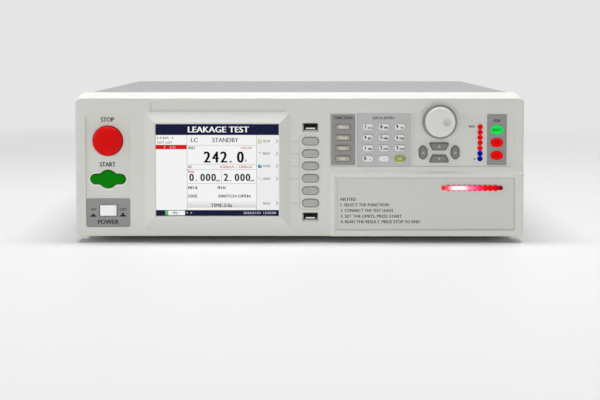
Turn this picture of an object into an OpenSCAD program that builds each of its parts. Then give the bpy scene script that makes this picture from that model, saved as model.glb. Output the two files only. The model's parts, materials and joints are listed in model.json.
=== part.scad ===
// Leakage current tester: a bench instrument with a moulded front and a sheet-metal case.
// Panel frame: X runs to the right, depths run backwards from the bezel's face (D), and heights
// run upwards from the bezel's lower edge (Z). place() moves it all into the part's own frame.

/* [Case] */
// Width of the front bezel
bezel_w = 442; // [436:1:480]
// Height of the front bezel
bezel_h = 141.7; // [138:0.1:160]
// Depth of the front bezel behind its face
bezel_d = 26; // [24:1:34]
// From the bezel's face to the cover's back edge
case_d = 400; // [380:5:440]
// Step in from the bezel's side to the cover's side
side_step = 6; // [4:0.5:8]
// Step down from the bezel's top to the cover's top
top_step = 0.8; // [0:0.1:3]
// Step up from the bezel's lower edge to the case's underside
tray_step = 1.5; // [0.5:0.1:3]
// Outside bend radius of the cover
bend_r = 4; // [2:0.5:8]
// Thickness of the cover's sheet
cover_t = 1.2; // [0.8:0.1:1.5]
// Thickness of the tray, the sub-panel and the rear panel
plate_t = 1.5; // [1:0.1:2]
// Height of the feet below the case
foot_h = 7.5; // [5:0.5:15]
// Height of the tray's side walls
tray_wall_h = 40; // [20:1:60]

/* [Bezel moulding] */
// Thickness of the bezel's face
face_wall = 4; // [3.4:0.1:4.4]
// Thickness of the bezel's sides
rim_wall = 3; // [2:0.1:4]
// Radius of the bezel's upper corners
top_corner_r = 8.5; // [5:0.5:12]
// Radius of the bezel's lower corners
low_corner_r = 2.5; // [1.5:0.5:5]
// Height of the sloped band along the top
band_h = 5.2; // [3:0.5:8]
// Depth of the sloped band along the top
band_d = 10; // [5:0.5:12]
// Radius of the rounded edge round the bezel's face
edge_r = 1.5; // [1:0.1:2.5]
// Draft of the bezel's sides over the depth of the band
draft = 0.2; // [0.1:0.1:0.5]
// Gap between a key and its opening
key_gap = 0.35; // [0.3:0.05:0.5]
// How far a key stands proud of its panel
key_proud = 1.4; // [0.8:0.1:2.5]
// Travel of a small key
key_travel = 1; // [0.5:0.1:1.4]
// Lip of a key behind the face
key_lip = 1; // [0.6:0.1:1.2]

/* [Left controls] */
// From the bezel's left side to the middle of the left column
left_col = 32.1; // [29:0.1:33]
// Width of the sunk panel on the left
left_panel_w = 43.6; // [42:0.1:46]
// From the bezel's top to the sunk panel on the left
left_panel_down = 21.1; // [21:0.1:24]
// Height of the sunk panel's lower edge
left_panel_z = 9.4; // [7:0.1:11]
// Depth of the sunk panel on the left
left_panel_sink = 1.2; // [0.5:0.1:1.5]
// Height of the dark plate around the power button
power_plate_h = 28.6; // [26:0.1:32]
// From the bezel's top to the STOP button's middle
stop_down = 46.9; // [46:0.1:49]
// Radius of the STOP button
stop_r = 14.4; // [13:0.1:15]
// How far the STOP button stands proud
stop_proud = 5; // [3:0.5:8]
// Travel of the STOP button
stop_travel = 4; // [2:0.5:5]
// How far the START key sits below the midpoint of STOP and power
start_drop = 3.35; // [2:0.05:5]
// Radius of the START key's round middle
start_r = 8.7; // [8:0.1:10]
// Width over the START key's wings
start_w = 34.2; // [32:0.1:36]
// Height of the START key's wings
start_wing_h = 9.4; // [8:0.1:10]
// Travel of the START key
start_travel = 3; // [2:0.5:4]
// Height of the power button's middle
power_z = 25.9; // [24:0.1:27]
// Width of the power button
power_w = 16.6; // [15:0.1:18]
// Height of the power button
power_h = 11.3; // [10:0.1:12]
// Return of the power button when it pops out to OFF
power_travel = 3.5; // [2:0.5:4]
// Extra press of the power button that frees its latch
power_over = 0.8; // [0.5:0.1:1]

/* [Screen] */
// From the bezel's left side to the screen window
screen_in = 79.7; // [78:0.1:80]
// Height of the screen window's lower edge
screen_low = 20.9; // [19.5:0.1:21.5]
// From the screen window to the middle of the soft keys
screen_to_soft = 31.1; // [30.5:0.1:33]
// From the bezel's top to the screen window
screen_down = 30; // [29.5:0.1:31.5]
// Width of the raised surround's slopes
surround_slope = 10; // [6:0.5:11]
// Height of the raised surround
surround_proud = 5; // [3:0.5:7]
// Flat lip between the slopes and the window
surround_lip = 1.4; // [0.8:0.1:2]
// How far the window sits below the lip
window_sink = 0.8; // [0.3:0.1:1.5]
// Thickness of the window
window_t = 2.4; // [1.5:0.1:2.6]
// How far the display module reaches beyond the window's sides
module_side = 5; // [4:0.1:6]
// How far the display module reaches above and below the window
module_over = 4.6; // [3:0.1:5]
// Depth of the display module
module_d = 11; // [8:0.5:13]
// How far the blank name plate reaches beyond the window's sides
name_over = 6.1; // [3:0.1:9]
// Height of the sunk name plate
name_h = 8.9; // [7:0.1:10]
// From the bezel's top to the name plate's middle
name_down = 13.1; // [13:0.1:15]

/* [Soft keys] */
// From the middle of the soft keys to the upper right panel
soft_to_zone = 19.3; // [18.5:0.1:20]
// Width of a soft key
soft_w = 15.4; // [13:0.1:16]
// Height of a soft key
soft_h = 7.2; // [6:0.1:8]
// Gap round a soft key
soft_gap = 0.7; // [0.3:0.1:0.8]
// From the bezel's top to the upper soft key's middle
soft_down = 47.2; // [47:0.1:49]
// Height of the lowest soft key's middle
soft_low = 33.25; // [32:0.05:34]
// From an end soft key to the host socket next to it
host_step = 13.65; // [13:0.05:14]
// Width of a host socket's shell
host_w = 13.1; // [12.5:0.1:14]
// Height of a host socket's shell
host_h = 5.7; // [5.2:0.1:6.2]

/* [Keypad] */
// From the bezel's right side to the left edge of the upper right panel
zone_in = 190.9; // [189:0.1:191]
// From the bezel's top to the upper right panel
zone_down = 19.5; // [19:0.1:21]
// Height of the upper right panel
zone_h = 52.9; // [52:0.1:55]
// From the bezel's right side to the upper right panel's right edge
zone_out = 9.6; // [7.5:0.1:10]
// Depth of the upper right panel
zone_sink = 1; // [0.6:0.1:1.2]
// From the bezel's top to the upper key row's middle
row_down = 33.2; // [33:0.1:35]
// Pitch of the key rows
row_pitch = 10.4; // [10:0.05:10.8]
// Pitch of the number keys from side to side
col_pitch = 15.7; // [14.5:0.1:16.2]
// Width of a number key
num_w = 10.8; // [10:0.1:12]
// Height of a number key
num_h = 6.2; // [5.5:0.1:7]
// Width of a function key
fun_w = 13.9; // [12:0.1:15]
// Height of a function key
fun_h = 5.2; // [4.5:0.1:6]
// Width of the dark plate round the function keys
fun_plate_w = 23.5; // [21:0.1:24]
// Width of the grey plate round the number keys
num_plate_w = 52.3; // [50:0.1:54]
// Thickness of the plates stuck to the front
film_t = 0.4; // [0.2:0.1:0.6]

/* [Knob and arrows] */
// From the bezel's right side to the middle of the knob
knob_in = 83.4; // [81:0.1:84]
// From the bezel's top to the knob's middle
knob_down = 28; // [28:0.1:29.5]
// Radius of the knob's skirt
knob_r = 16.9; // [15:0.1:17]
// Radius of the knob's face
knob_face_r = 14.7; // [13:0.1:15]
// How far the knob stands proud of the face
knob_proud = 10; // [8:0.5:20]
// Radius of the finger dimple
dimple_r = 4.4; // [3:0.1:5]
// Distance from the knob's middle to the dimple
dimple_off = 6.8; // [6:0.1:8]
// Radius of the round bulge of the panel about the knob
knob_bay_r = 20; // [18.5:0.1:21]
// Radius of the encoder's shaft
shaft_r = 3; // [2.5:0.1:3.5]
// Radial clearance of the shaft in its bushing
shaft_fit = 0.05; // [0.02:0.01:0.09]
// Radius of the shallow dish round the knob and arrows
dish_r = 26; // [24:0.5:27]
// Depth of the shallow dish
dish_sink = 1.2; // [0.8:0.1:1.4]
// From the bezel's top to the middle of the arrow keys
cross_down = 58.5; // [58:0.1:60]
// From the cross's middle to the up and down keys
arrow_off_z = 6; // [5.8:0.1:6.5]
// From the cross's middle to the left and right keys
arrow_off_x = 15.7; // [15:0.1:17]
// Outer width of an up or down key
arrow_w = 18.6; // [17:0.1:20]
// Height of an up or down key
arrow_h = 7; // [6:0.1:7.4]

/* [Lamps] */
// From the bezel's right side to the level lamps
level_in = 43.2; // [41:0.1:44]
// Radius of a level lamp
level_r = 2.5; // [2:0.05:2.55]
// Pitch of the level lamps
level_pitch = 5.23; // [5.15:0.01:5.4]
// From the bezel's right side to the middle of the status plate
status_in = 26.7; // [25:0.1:27]
// Width of the status plate
status_w = 19.4; // [18:0.1:20]
// Width of a status lamp
status_lamp_w = 12.5; // [11:0.1:14]
// Height of a status lamp
status_lamp_h = 9; // [8:0.1:10]
// From the bezel's top to the upper status lamp's middle
status_down = 36; // [36:0.1:38]
// Pitch of the status lamps
status_pitch = 12.65; // [12.2:0.05:13]

/* [Lower block] */
// Gap between the raised block and the upper right panel
block_gap = 4.3; // [3.8:0.1:6]
// How far the raised block stands proud
block_proud = 2.2; // [1:0.1:2.5]
// Width of the raised block's bright slope
block_slope = 2.6; // [2:0.1:4]
// Depth of the recess in the raised block
note_sink = 2; // [1.5:0.1:2.5]
// Thickness of the plate in the recess
note_t = 0.8; // [0.5:0.1:1.2]
// From the bezel's right side to the plate's right edge
note_out = 9.5; // [7.5:0.1:10]
// Width of the plate in the recess
note_w = 173.2; // [165:0.1:174]
// From the raised block's top to the plate in its recess
note_down = 7.2; // [6.6:0.1:9]
// Height of the plate's lower edge
note_z = 7.4; // [6.5:0.1:8]
// From the plate's upper edge to the danger lamp's middle
danger_down = 9.4; // [8:0.1:11]
// From the bezel's right side to the middle of the danger lamp
danger_in = 51; // [48:0.1:52]
// Pitch of the danger lamp's lobes
danger_pitch = 5.1; // [4.8:0.05:5.4]
// Radius of a lobe of the danger lamp
danger_r = 3.05; // [2.7:0.05:3.3]

/* [Behind the front] */
// Depth of the sub-panel behind the bezel's face
plate_at = 18; // [17:0.1:18.5]
// Depth of the key board behind the bezel's face
board_at = 12; // [11.5:0.1:13]
// Thickness of the circuit boards
board_t = 1.6; // [1:0.1:2]
// Height of the standoffs under the boards
standoff_h = 8; // [5:0.5:12]
// Radius of the toroidal transformer
toroid_r = 45; // [38:0.5:48]
// Height of the toroidal transformer
toroid_h = 50; // [40:1:60]

/* [Rear] */
// How far the rear panel sits inside the cover's back edge
rear_in = 2; // [1:0.1:4]
// Side of the fan's square frame
fan_side = 80; // [79:0.5:82]
// Depth of the fan's frame
fan_d = 25; // [25:0.5:30]
// From the bezel's left side to the fan's middle
fan_col = 126; // [118:0.5:150]
// Radius of the fan's shaft
fan_shaft_r = 1.5; // [1.2:0.1:2]
// Number of fan blades
blade_count = 7; // [5:1:9]
// Tilt of the fan blades
blade_tilt = 42; // [35:1:50]
// Height of the fan's middle
fan_z = 72; // [70:0.5:78]
// From the bezel's left side to the mains inlet's middle
inlet_col = 47; // [44:0.5:52]
// Height of the mains inlet's middle
inlet_z = 40; // [38:0.5:50]
// Pull of the fuse drawer
drawer_travel = 20; // [19:1:24]
// From the bezel's right side to the last test socket
socket_in = 36; // [30:0.5:40]
// Pitch of the test sockets
socket_pitch = 25; // [22:0.5:26]
// Height of the test sockets
socket_z = 42; // [38:0.5:60]
// How far the test sockets stand out behind the cover's back edge
socket_proud = 8; // [6:0.5:14]
// From the bezel's left side to the data ports' middle
port_col = 263; // [250:0.5:270]
// Height of the data ports
port_z = 100; // [90:0.5:110]

/* [Hidden] */
$fn = 48;
soft_names = [for (i = [1:6]) str("soft_key_", i)];
fun_names = [for (i = [1:4]) str("function_key_", i)];
num_names = ["key_7", "key_8", "key_9", "key_4", "key_5", "key_6",
             "key_1", "key_2", "key_3", "key_0", "key_point", "key_shift"];
arrow_names = ["arrow_up", "arrow_down", "arrow_left", "arrow_right"];
eps = 0.01;
over = 1;
seat_gap = 0.3;

left = -bezel_w / 2;
right = bezel_w / 2;
face_y = (knob_proud - case_d - socket_proud) / 2;
base_z = foot_h - tray_step;
cover_half = bezel_w / 2 - side_step;
cover_top = bezel_h - top_step;
cover_in = cover_half - cover_t;
tray_top = tray_step + plate_t;
rear_face = case_d - rear_in;
rear_back = rear_face - plate_t;
plate_back = plate_at + plate_t;
board_back = board_at + board_t;
flange_at = face_wall + seat_gap;
flange_end = flange_at + 1;
switch_top = board_at - 2.2;
stem_end = switch_top - key_travel - seat_gap;
cavity_top = bezel_h - rim_wall;
shelf_top = bezel_h - band_h - rim_wall;

left_x = left + left_col;
left_panel_h = bezel_h - left_panel_down - left_panel_z;
stop_z = bezel_h - stop_down;
start_z = (stop_z + power_z) / 2 - start_drop;
zone_x0 = right - zone_in;
zone_x1 = right - zone_out;
zone_top = bezel_h - zone_down;
zone_z = zone_top - zone_h;
soft_x = zone_x0 - soft_to_zone;
soft_top_z = bezel_h - soft_down;
soft_pitch = (soft_top_z - soft_low) / 5;
screen_w = soft_x - screen_to_soft - left - screen_in;
screen_h = bezel_h - screen_down - screen_low;
screen_x = left + screen_in + screen_w / 2;
screen_z = screen_low + screen_h / 2;
module_w = screen_w + 2 * module_side;
module_h = screen_h + 2 * module_over;
name_w = screen_w + 2 * name_over;
row_top_z = bezel_h - row_down;
knob_z = bezel_h - knob_down;
arrow_z = bezel_h - cross_down;
status_top_z = bezel_h - status_down;
knob_x = right - knob_in;
level_x = right - level_in;
status_x = right - status_in;
danger_x = right - danger_in;
fun_plate_x = zone_x0 + 1.1 + fun_plate_w / 2;
num_plate_x = fun_plate_x + fun_plate_w / 2 + 2.3 + num_plate_w / 2;
plate_low = row_top_z - 3 * row_pitch - 6.5;
plate_high = row_top_z + 12.6;

window_front = window_sink - surround_proud;
window_back = window_front + window_t;
lip_w = screen_w + 2 * surround_lip;
lip_h = screen_h + 2 * surround_lip;
surround_w = lip_w + 2 * surround_slope;
surround_h = lip_h + 2 * surround_slope;

block_x = zone_x0 + 0.6;
block_h = zone_z - block_gap;
block_corner = 6;
block_back = edge_r + 1;
block_taper = 0.15;
note_x1 = right - note_out;
note_x0 = note_x1 - note_w;
note_top = block_h - note_down;
note_h = note_top - note_z;
danger_z = note_top - danger_down;
note_floor = note_sink - block_proud;
note_slope = 3.8;
mouth_r = 2.5;
danger_lobes = 10;
danger_end_r = danger_r - 0.85;

foot_x = cover_half - 45;
foot_front = 70;
foot_back = case_d - 50;
foot_r = 11;
boss_r = 4;
boss_low = 8;
boss_high = shelf_top - boss_r - 1;
boss_outer = bezel_w / 2 - 13.5;
boss_mid_left = left_x + left_panel_w / 2 + 9;
boss_mid_right = zone_x0 - 4.4;
bosses = [for (x = [-boss_outer, boss_mid_left, boss_mid_right, boss_outer], z = [boss_low, boss_high])
          [x, z]];
screw_r = 1.45;
screw_hole_r = screw_r + 0.05;
head_r = 2.9;
head_h = 1.8;
dome_r = 5;
cross_r = 1.7;
cross_w = 0.8;
cross_in = 1.3;

fan_x = left + fan_col;
fan_bore_r = fan_side / 2 - 2;
fan_hole_pitch = fan_side / 2 - 4.25;
fan_front = rear_back - fan_d;
hub_r = 17.5;
inlet_x = left + inlet_col;
inlet_w = 27.4;
cavity_w = 24.4;
cavity_h = 16.8;
plug_z = inlet_z + 5.4;
slot_z = inlet_z - 9.6;
slot_h = 7.6;
inlet_h = 31;
flange_t = 2.5;
flange_face = rear_face + flange_t;
inlet_d = drawer_travel + 7;
inlet_front = flange_face - inlet_d;
flange_w = 50;
flange_h = 34;
flange_hole_x = 20;
drawer_gap = 0.35;
fuse_r = 2.5;
fuse_l = 20;
fuse_gap = 0.2;
port_x = left + port_col;
pin_pitch = 2.77;
panel_half = cover_in - plate_t - seat_gap;
panel_top = cover_top - cover_t;

soft_proud = 0.9;
button_gap = 0.8;
stem_r = 3;
stem_in = power_travel + 0.5;
flange_back = plate_at + 32;
tray_wall_z = tray_top + tray_wall_h;
side_screw_z = tray_top + 15;
side_screw_reach = 8;
panel_fold = 12;
side_screws = [plate_at + 24, case_d / 2, rear_back - panel_fold / 2];
soft_mid_z = soft_top_z - 2.5 * soft_pitch;
plate_face = zone_sink - film_t;
zone_r = 5;
zone_square = 20;
rib_w = 1.5;
rib_left = fun_plate_x + fun_plate_w / 2 + 1.15;
rib_right = num_plate_x + num_plate_w / 2 + 1.35;
note_groove = 0.9;
name_sink = 0.7;
soft_bed_sink = 0.5;
lead_line = 0.3;
dish_z = zone_z + dish_r + 0.3;
danger_slot_w = (danger_lobes + 0.6) * danger_pitch;
danger_slot_h = 3.6;
board_x0 = soft_x - soft_w / 2 - 3.4;
board_x1 = status_x + status_lamp_w / 2 + 2.2;
board_z0 = boss_low + boss_r + 1;
board_z1 = boss_high - boss_r - 1;
bushing_r = shaft_r + 0.7;
bushing_end = 5.6;
knob_wall = 2.4;
knob_skirt = 3.4;
knob_hub_r = bushing_r + 3.3;
bore_end = board_at - 1;
hub_back = -1.2;
dimple_sink = 1.2;
dimple_ball = (dimple_r * dimple_r + dimple_sink * dimple_sink) / (2 * dimple_sink);
lamp_fit = 0.4;
film_fit = 0.4;
opening_fit = 0.6;
vent_w = 3;
vent_h = 26;
vent_pitch = 7;
vent_count = 16;
vent_back = 60;
vent_rows = [tray_wall_z + 24, tray_wall_z + 60];
slot_count = 14;
slot_x0 = -45;
slot_d = 60;
socket_body_r = 6.2;
socket_wall = 1.6;
socket_tube_r = 3.2;
socket_body_d = 24;
cavity_deep = 18;
pin_sunk = 4.6;
blade_bow = 24;
blade_chord = 24;
blade_t = 1.2;
strut_d = 2.5;
guard_at = rear_face + 1;
guard_end = guard_at + 1.4;
guard_pitch = 7.2;
toroid_in = 15;
toroid_x = -cover_in + toroid_r + 20;
toroid_y = 125;
supply_x = -cover_in + 16;
supply_y = 190;
supply_w = 84;
supply_l = 140;
supply_lift = 6;
board2_y = 90;
board2_l = 190;
meter_y = 220;
meter_w = 130;
meter_x = cover_in - 13.8 - meter_w;
meter_l = 130;
board2_x = -cover_in + 143.8;
board2_w = meter_x - 16 - board2_x;
boards_z = tray_top + standoff_h;
main_posts = [for (x = [6, board2_w - 6], y = [6, board2_l - 6]) [board2_x + x, board2_y + y]];
meter_posts = [for (x = [6, meter_w - 6], y = [6, meter_l - 6]) [meter_x + x, meter_y + y]];

// Carries the panel frame into the part's frame
module place() translate([0, face_y, base_z]) children();

// Thickens a flat outline drawn in X and Z from depth d0 to depth d1
module upright(d0, d1) translate([0, d1, 0]) rotate([90, 0, 0]) linear_extrude(d1 - d0) children();

// Sweeps a section drawn in D and Z along X
module across(x0, x1) translate([x0, 0, 0]) rotate([90, 0, 90]) linear_extrude(x1 - x0) children();

// Sweeps a plan drawn in X and D along Z
module rising(z0, z1) translate([0, 0, z0]) linear_extrude(z1 - z0) children();

// Turns a profile about the depth axis: X is its radius and Y its depth
module turned() rotate([-90, 0, 0]) rotate_extrude() children();

module at(x, z, d = 0) translate([x, d, z]) children();

module bar(x0, x1, d0, d1, z0, z1) translate([x0, d0, z0]) cube([x1 - x0, d1 - d0, z1 - z0]);

// Round bar along the depth axis
module rod(r, d0, d1) translate([0, d1, 0]) rotate([90, 0, 0]) cylinder(r = r, h = d1 - d0);

module rounded_2d(w, h, r) {
  square([w - 2 * r, h], center = true);
  square([w, h - 2 * r], center = true);
  for (sx = [-1, 1], sz = [-1, 1]) translate([sx * (w / 2 - r), sz * (h / 2 - r)]) circle(r);
}

module pill_2d(w, h) {
  square([w - h, h], center = true);
  for (s = [-1, 1]) translate([s * (w - h) / 2, 0]) circle(h / 2);
}

// Four-sided block whose plan and side both taper from w by h at depth d0 to less at depth d1
module taper(w, h, d0, d1, in_x, in_z) intersection() {
  rising(-h / 2, h / 2)
    polygon([[-w / 2, d0], [w / 2, d0], [w / 2 - in_x, d1], [in_x - w / 2, d1]]);
  across(-w / 2, w / 2)
    polygon([[d0, -h / 2], [d0, h / 2], [d1, h / 2 - in_z], [d1, in_z - h / 2]]);
}

// Half profile of a cap: a straight side whose front edge is rounded by r
module edge_profile(half, d0, d1, r) {
  translate([0, d0 + r]) square([half, d1 - d0 - r]);
  translate([0, d0]) square([half - r, 2 * r]);
  translate([half - r, d0 + r]) circle(r);
}

// Stadium-shaped cap with a rounded front edge: two half turns and a straight middle
module pill_cap(w, h, d0, d1, r) {
  for (s = [-1, 1]) translate([s * (w - h) / 2, 0, 0]) rotate([-90, 0, 0]) rotate([0, 0, -90 * s])
    rotate_extrude(angle = 180) edge_profile(h / 2, d0, d1, r);
  across(-(w - h) / 2, (w - h) / 2) {
    translate([d0 + r, -h / 2]) square([d1 - d0 - r, h]);
    translate([d0, r - h / 2]) square([2 * r, h - 2 * r]);
    for (s = [-1, 1]) translate([d0 + r, s * (h / 2 - r)]) circle(r);
  }
}

// Plunger that reaches from a key's lip towards its switch
module stem() rod(1.8, flange_end - eps, stem_end);

// Points along an arc of radius r about (x, z), from angle a0 to a1
function arc(x, z, r, a0, a1, steps) =
  [for (i = [0:steps]) let (a = a0 + (a1 - a0) * i / steps) [x + r * cos(a), z + r * sin(a)]];

// Round middle with two wings, blended by hollow fillets, grown by g all round
module start_2d(g) {
  blend = 4 - g;
  half_h = start_wing_h / 2 + g;
  blend_z = half_h + blend;
  blend_x = sqrt(pow(start_r + g + blend, 2) - pow(blend_z, 2));
  meet = atan2(blend_z, blend_x);
  part = concat(arc(start_w / 2 - start_wing_h / 2, 0, half_h, 0, 90, 8),
                arc(blend_x, blend_z, blend, 270, 180 + meet, 4), arc(0, 0, start_r + g, meet, 90, 6));
  end = len(part) - 1;
  polygon(concat(part, [for (i = [end - 1:-1:0]) [-part[i][0], part[i][1]]],
                 [for (i = [1:end]) -part[i]], [for (i = [end - 1:-1:1]) [part[i][0], -part[i][1]]]));
}

// Up or down key: wide on the outside, grown by g
module arrow_tall_2d(g) {
  out = arrow_w / 2 + g;
  in = arrow_w / 2 - 3.1 + g;
  cut = 1.2;
  top = arrow_h / 2 + g;
  polygon([[-in, -top], [in, -top], [out, top - g - cut], [out, top - 0.6], [out - cut, top],
           [cut - out, top], [-out, top - 0.6], [-out, top - g - cut]]);
}

// Left or right key: pointed above and below, grown by g; the outside is on the left
module arrow_side_2d(g) {
  half = [[-3.9 - g, 3.6 + g / 2], [-1.1 - g / 2, 6.4 + g], [0.9 + g / 2, 6.4 + g], [3.9 + g, 2.9 + g / 2]];
  polygon(concat(half, [for (i = [3:-1:0]) [half[i][0], -half[i][1]]]));
}

module ellipse_2d(w, h) polygon([for (a = [0:7.5:352.5]) [w / 2 * cos(a), h / 2 * sin(a)]]);

// Front view of the bezel, drawn in from the sides, the lower edge and the top
module bezel_2d(side, low, top, r_low, r_top) {
  half = bezel_w / 2 - side;
  z1 = bezel_h - top;
  translate([-half, low + r_low]) square([2 * half, z1 - low - r_low - r_top]);
  translate([r_low - half, low]) square([2 * (half - r_low), 2 * r_low]);
  translate([r_top - half, z1 - 2 * r_top]) square([2 * (half - r_top), 2 * r_top]);
  for (s = [-1, 1]) {
    translate([s * (half - r_low), low + r_low]) circle(r_low);
    translate([s * (half - r_top), z1 - r_top]) circle(r_top);
  }
}

// Hollow of the bezel between two heights
module hollow_2d(half, z0, z1, r) translate([0, (z0 + z1) / 2]) rounded_2d(2 * half, z1 - z0, r);

// Thin slice of the bezel's rounded edge, a degrees round from the face, brought forward by proud
module edge_layer(a, proud = 0) {
  d = edge_r * (1 - cos(a)) - proud;
  inset = draft + edge_r * (1 - sin(a));
  upright(d, d + eps) bezel_2d(inset, inset, band_h * (1 - d / band_d), low_corner_r, top_corner_r - 3);
}

module bezel_shell() difference() {
  hull() {
    for (a = [0:30:90]) edge_layer(a);
    upright(band_d, bezel_d) bezel_2d(0, 0, 0, low_corner_r, top_corner_r);
  }
  upright(face_wall, bezel_d + over) hollow_2d(bezel_w / 2 - rim_wall, rim_wall, shelf_top, 2);
  upright(band_d + rim_wall, bezel_d - rim_wall)
    hollow_2d(bezel_w / 2 - rim_wall, rim_wall, cavity_top, top_corner_r - rim_wall);
  upright(bezel_d - rim_wall - eps, bezel_d + over)
    hollow_2d(cover_in, rim_wall, cavity_top, max(bend_r - cover_t, 0.5));
}

// Raised lower right block with a slope along its left side and top, rounded at their corner
module raised_block() intersection() {
  hull() {
    for (a = [0:30:90]) edge_layer(a, block_proud);
    upright(block_back - eps, block_back)
      bezel_2d(draft + block_taper, draft + block_taper, band_h, low_corner_r, top_corner_r - 3);
  }
  union() {
    rising(0, block_h - block_corner)
      polygon([[block_x, block_back], [block_x, 0], [block_x + block_slope, -block_proud],
               [block_x + block_corner, -block_proud], [block_x + block_corner, block_back]]);
    across(block_x + block_corner, right)
      polygon([[block_back, block_h], [0, block_h], [-block_proud, block_h - block_slope],
               [-block_proud, block_h - block_corner], [block_back, block_h - block_corner]]);
    at(block_x + block_corner, block_h - block_corner) rotate([-90, 0, 0]) rotate([0, 0, 180])
      rotate_extrude(angle = 90)
        polygon([[0, block_back], [block_corner, block_back], [block_corner, 0],
                 [block_corner - block_slope, -block_proud], [0, -block_proud]]);
    bar(block_x + block_corner, right, -block_proud, block_back, 0, block_h - block_corner);
  }
}

// Recess for the note plate: long slopes on the left and top, a narrow groove right and below
module note_recess() {
  run = note_slope / note_sink;
  front = -block_proud - over;
  mouth_w = note_w + seat_gap + note_slope + note_groove;
  mouth_h = note_h + seat_gap + note_slope + note_groove;
  intersection() {
    upright(front, note_floor)
      translate([note_x1 + note_groove - mouth_w / 2, note_z - note_groove + mouth_h / 2])
        rounded_2d(mouth_w, mouth_h, mouth_r);
    rising(note_z - note_groove, bezel_h)
      polygon([[note_x0 - seat_gap - run * (note_floor - front), front], [note_x0 - seat_gap, note_floor],
               [note_x1 + note_groove, note_floor], [note_x1 + note_groove, front]]);
    across(left, right)
      polygon([[front, note_top + seat_gap + run * (note_floor - front)], [note_floor, note_top + seat_gap],
               [note_floor, note_z - note_groove], [front, note_z - note_groove]]);
  }
}

// Sunk panel on the upper right, divided by two ribs and widened round the knob
module zone_recess() difference() {
  union() {
    upright(-over, zone_sink) {
      translate([(zone_x0 + zone_x1 + zone_square) / 2, zone_z + zone_h / 2])
        rounded_2d(zone_x1 - zone_x0 - zone_square, zone_h, zone_r);
      translate([zone_x0 + zone_square, zone_z + zone_h / 2]) rounded_2d(2 * zone_square, zone_h, 1);
    }
    at(knob_x, knob_z) rod(knob_bay_r, -over, zone_sink);
  }
  for (x = [rib_left, rib_right]) bar(x - rib_w / 2, x + rib_w / 2, -2 * over, zone_sink + over,
                                      zone_z - over, zone_top + over);
}

// Shallow spherical dish in the panel's floor
module dish() {
  r = (dish_r * dish_r + dish_sink * dish_sink) / (2 * dish_sink);
  intersection() {
    translate([knob_x, zone_sink + dish_sink - r, dish_z]) sphere(r, $fn = 256);
    bar(knob_x - r, knob_x + r, zone_sink - eps, zone_sink + dish_sink + over, 0, bezel_h);
  }
}

// One child at each place of a key group
module each_soft() for (i = [0:5]) at(soft_x, soft_top_z - i * soft_pitch) children();
module each_fun() for (i = [0:3]) at(fun_plate_x, row_top_z - i * row_pitch) children();
module at_num(i) at(num_plate_x + (i % 3 - 1) * col_pitch, row_top_z - floor(i / 3) * row_pitch) children();
module each_num() for (i = [0:11]) at_num(i) children();
module each_host() for (z = [soft_low - host_step, soft_top_z + host_step]) at(soft_x, z) children();
module each_level() for (i = [0:6]) at(level_x, row_top_z - i * level_pitch) children();
module each_status() for (i = [0:2]) at(status_x, status_top_z - i * status_pitch) children();
module each_boss() for (b = bosses) at(b[0], b[1]) children();

// Places and turns the four arrow keys: 0 up, 1 down, 2 left, 3 right
module at_arrow(i) {
  if (i == 0) at(knob_x, arrow_z + arrow_off_z) children();
  if (i == 1) at(knob_x, arrow_z - arrow_off_z) mirror([0, 0, 1]) children();
  if (i == 2) at(knob_x - arrow_off_x, arrow_z) children();
  if (i == 3) at(knob_x + arrow_off_x, arrow_z) mirror([1, 0, 0]) children();
}
module arrow_2d(i, g) {
  if (i < 2) arrow_tall_2d(g);
  else arrow_side_2d(g);
}

module face_openings() {
  through = [-surround_proud - over, face_wall + over];
  at(left_x, stop_z) rod(stop_r + button_gap, through[0], through[1]);
  at(left_x, start_z) upright(through[0], through[1]) start_2d(opening_fit);
  at(left_x, power_z) upright(through[0], through[1])
    rounded_2d(power_w + 2 * button_gap, power_h + 2 * button_gap, 1);
  at(screen_x, screen_z) {
    upright(through[0], through[1]) square([screen_w, screen_h], center = true);
    upright(window_back, through[1])
      square([module_w + 2 * seat_gap, module_h + 2 * seat_gap], center = true);
  }
  each_soft() upright(through[0], through[1]) pill_2d(soft_w + 2 * soft_gap, soft_h + 2 * soft_gap);
  each_host() {
    upright(through[0], through[1]) rounded_2d(host_w + 0.5, host_h + 0.5, 0.6);
    taper(host_w + 3.2, host_h + 3.2, -eps, 1.5, 1.35, 1.35);
  }
  each_fun() upright(through[0], through[1]) rounded_2d(fun_w + 2 * key_gap, fun_h + 2 * key_gap, 0.8);
  each_num() upright(through[0], through[1]) pill_2d(num_w + 2 * key_gap, num_h + 2 * key_gap);
  for (i = [0:3]) at_arrow(i) upright(through[0], through[1]) arrow_2d(i, key_gap);
  at(knob_x, knob_z) rod(bushing_r + 0.3, through[0], through[1]);
  each_level() rod(level_r + 0.05, through[0], through[1]);
  each_status() upright(through[0], through[1])
    ellipse_2d(status_lamp_w + lamp_fit, status_lamp_h + lamp_fit);
  at(danger_x, danger_z) upright(through[0], through[1])
    pill_2d(danger_slot_w + lamp_fit, danger_slot_h + lamp_fit);
}

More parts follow.
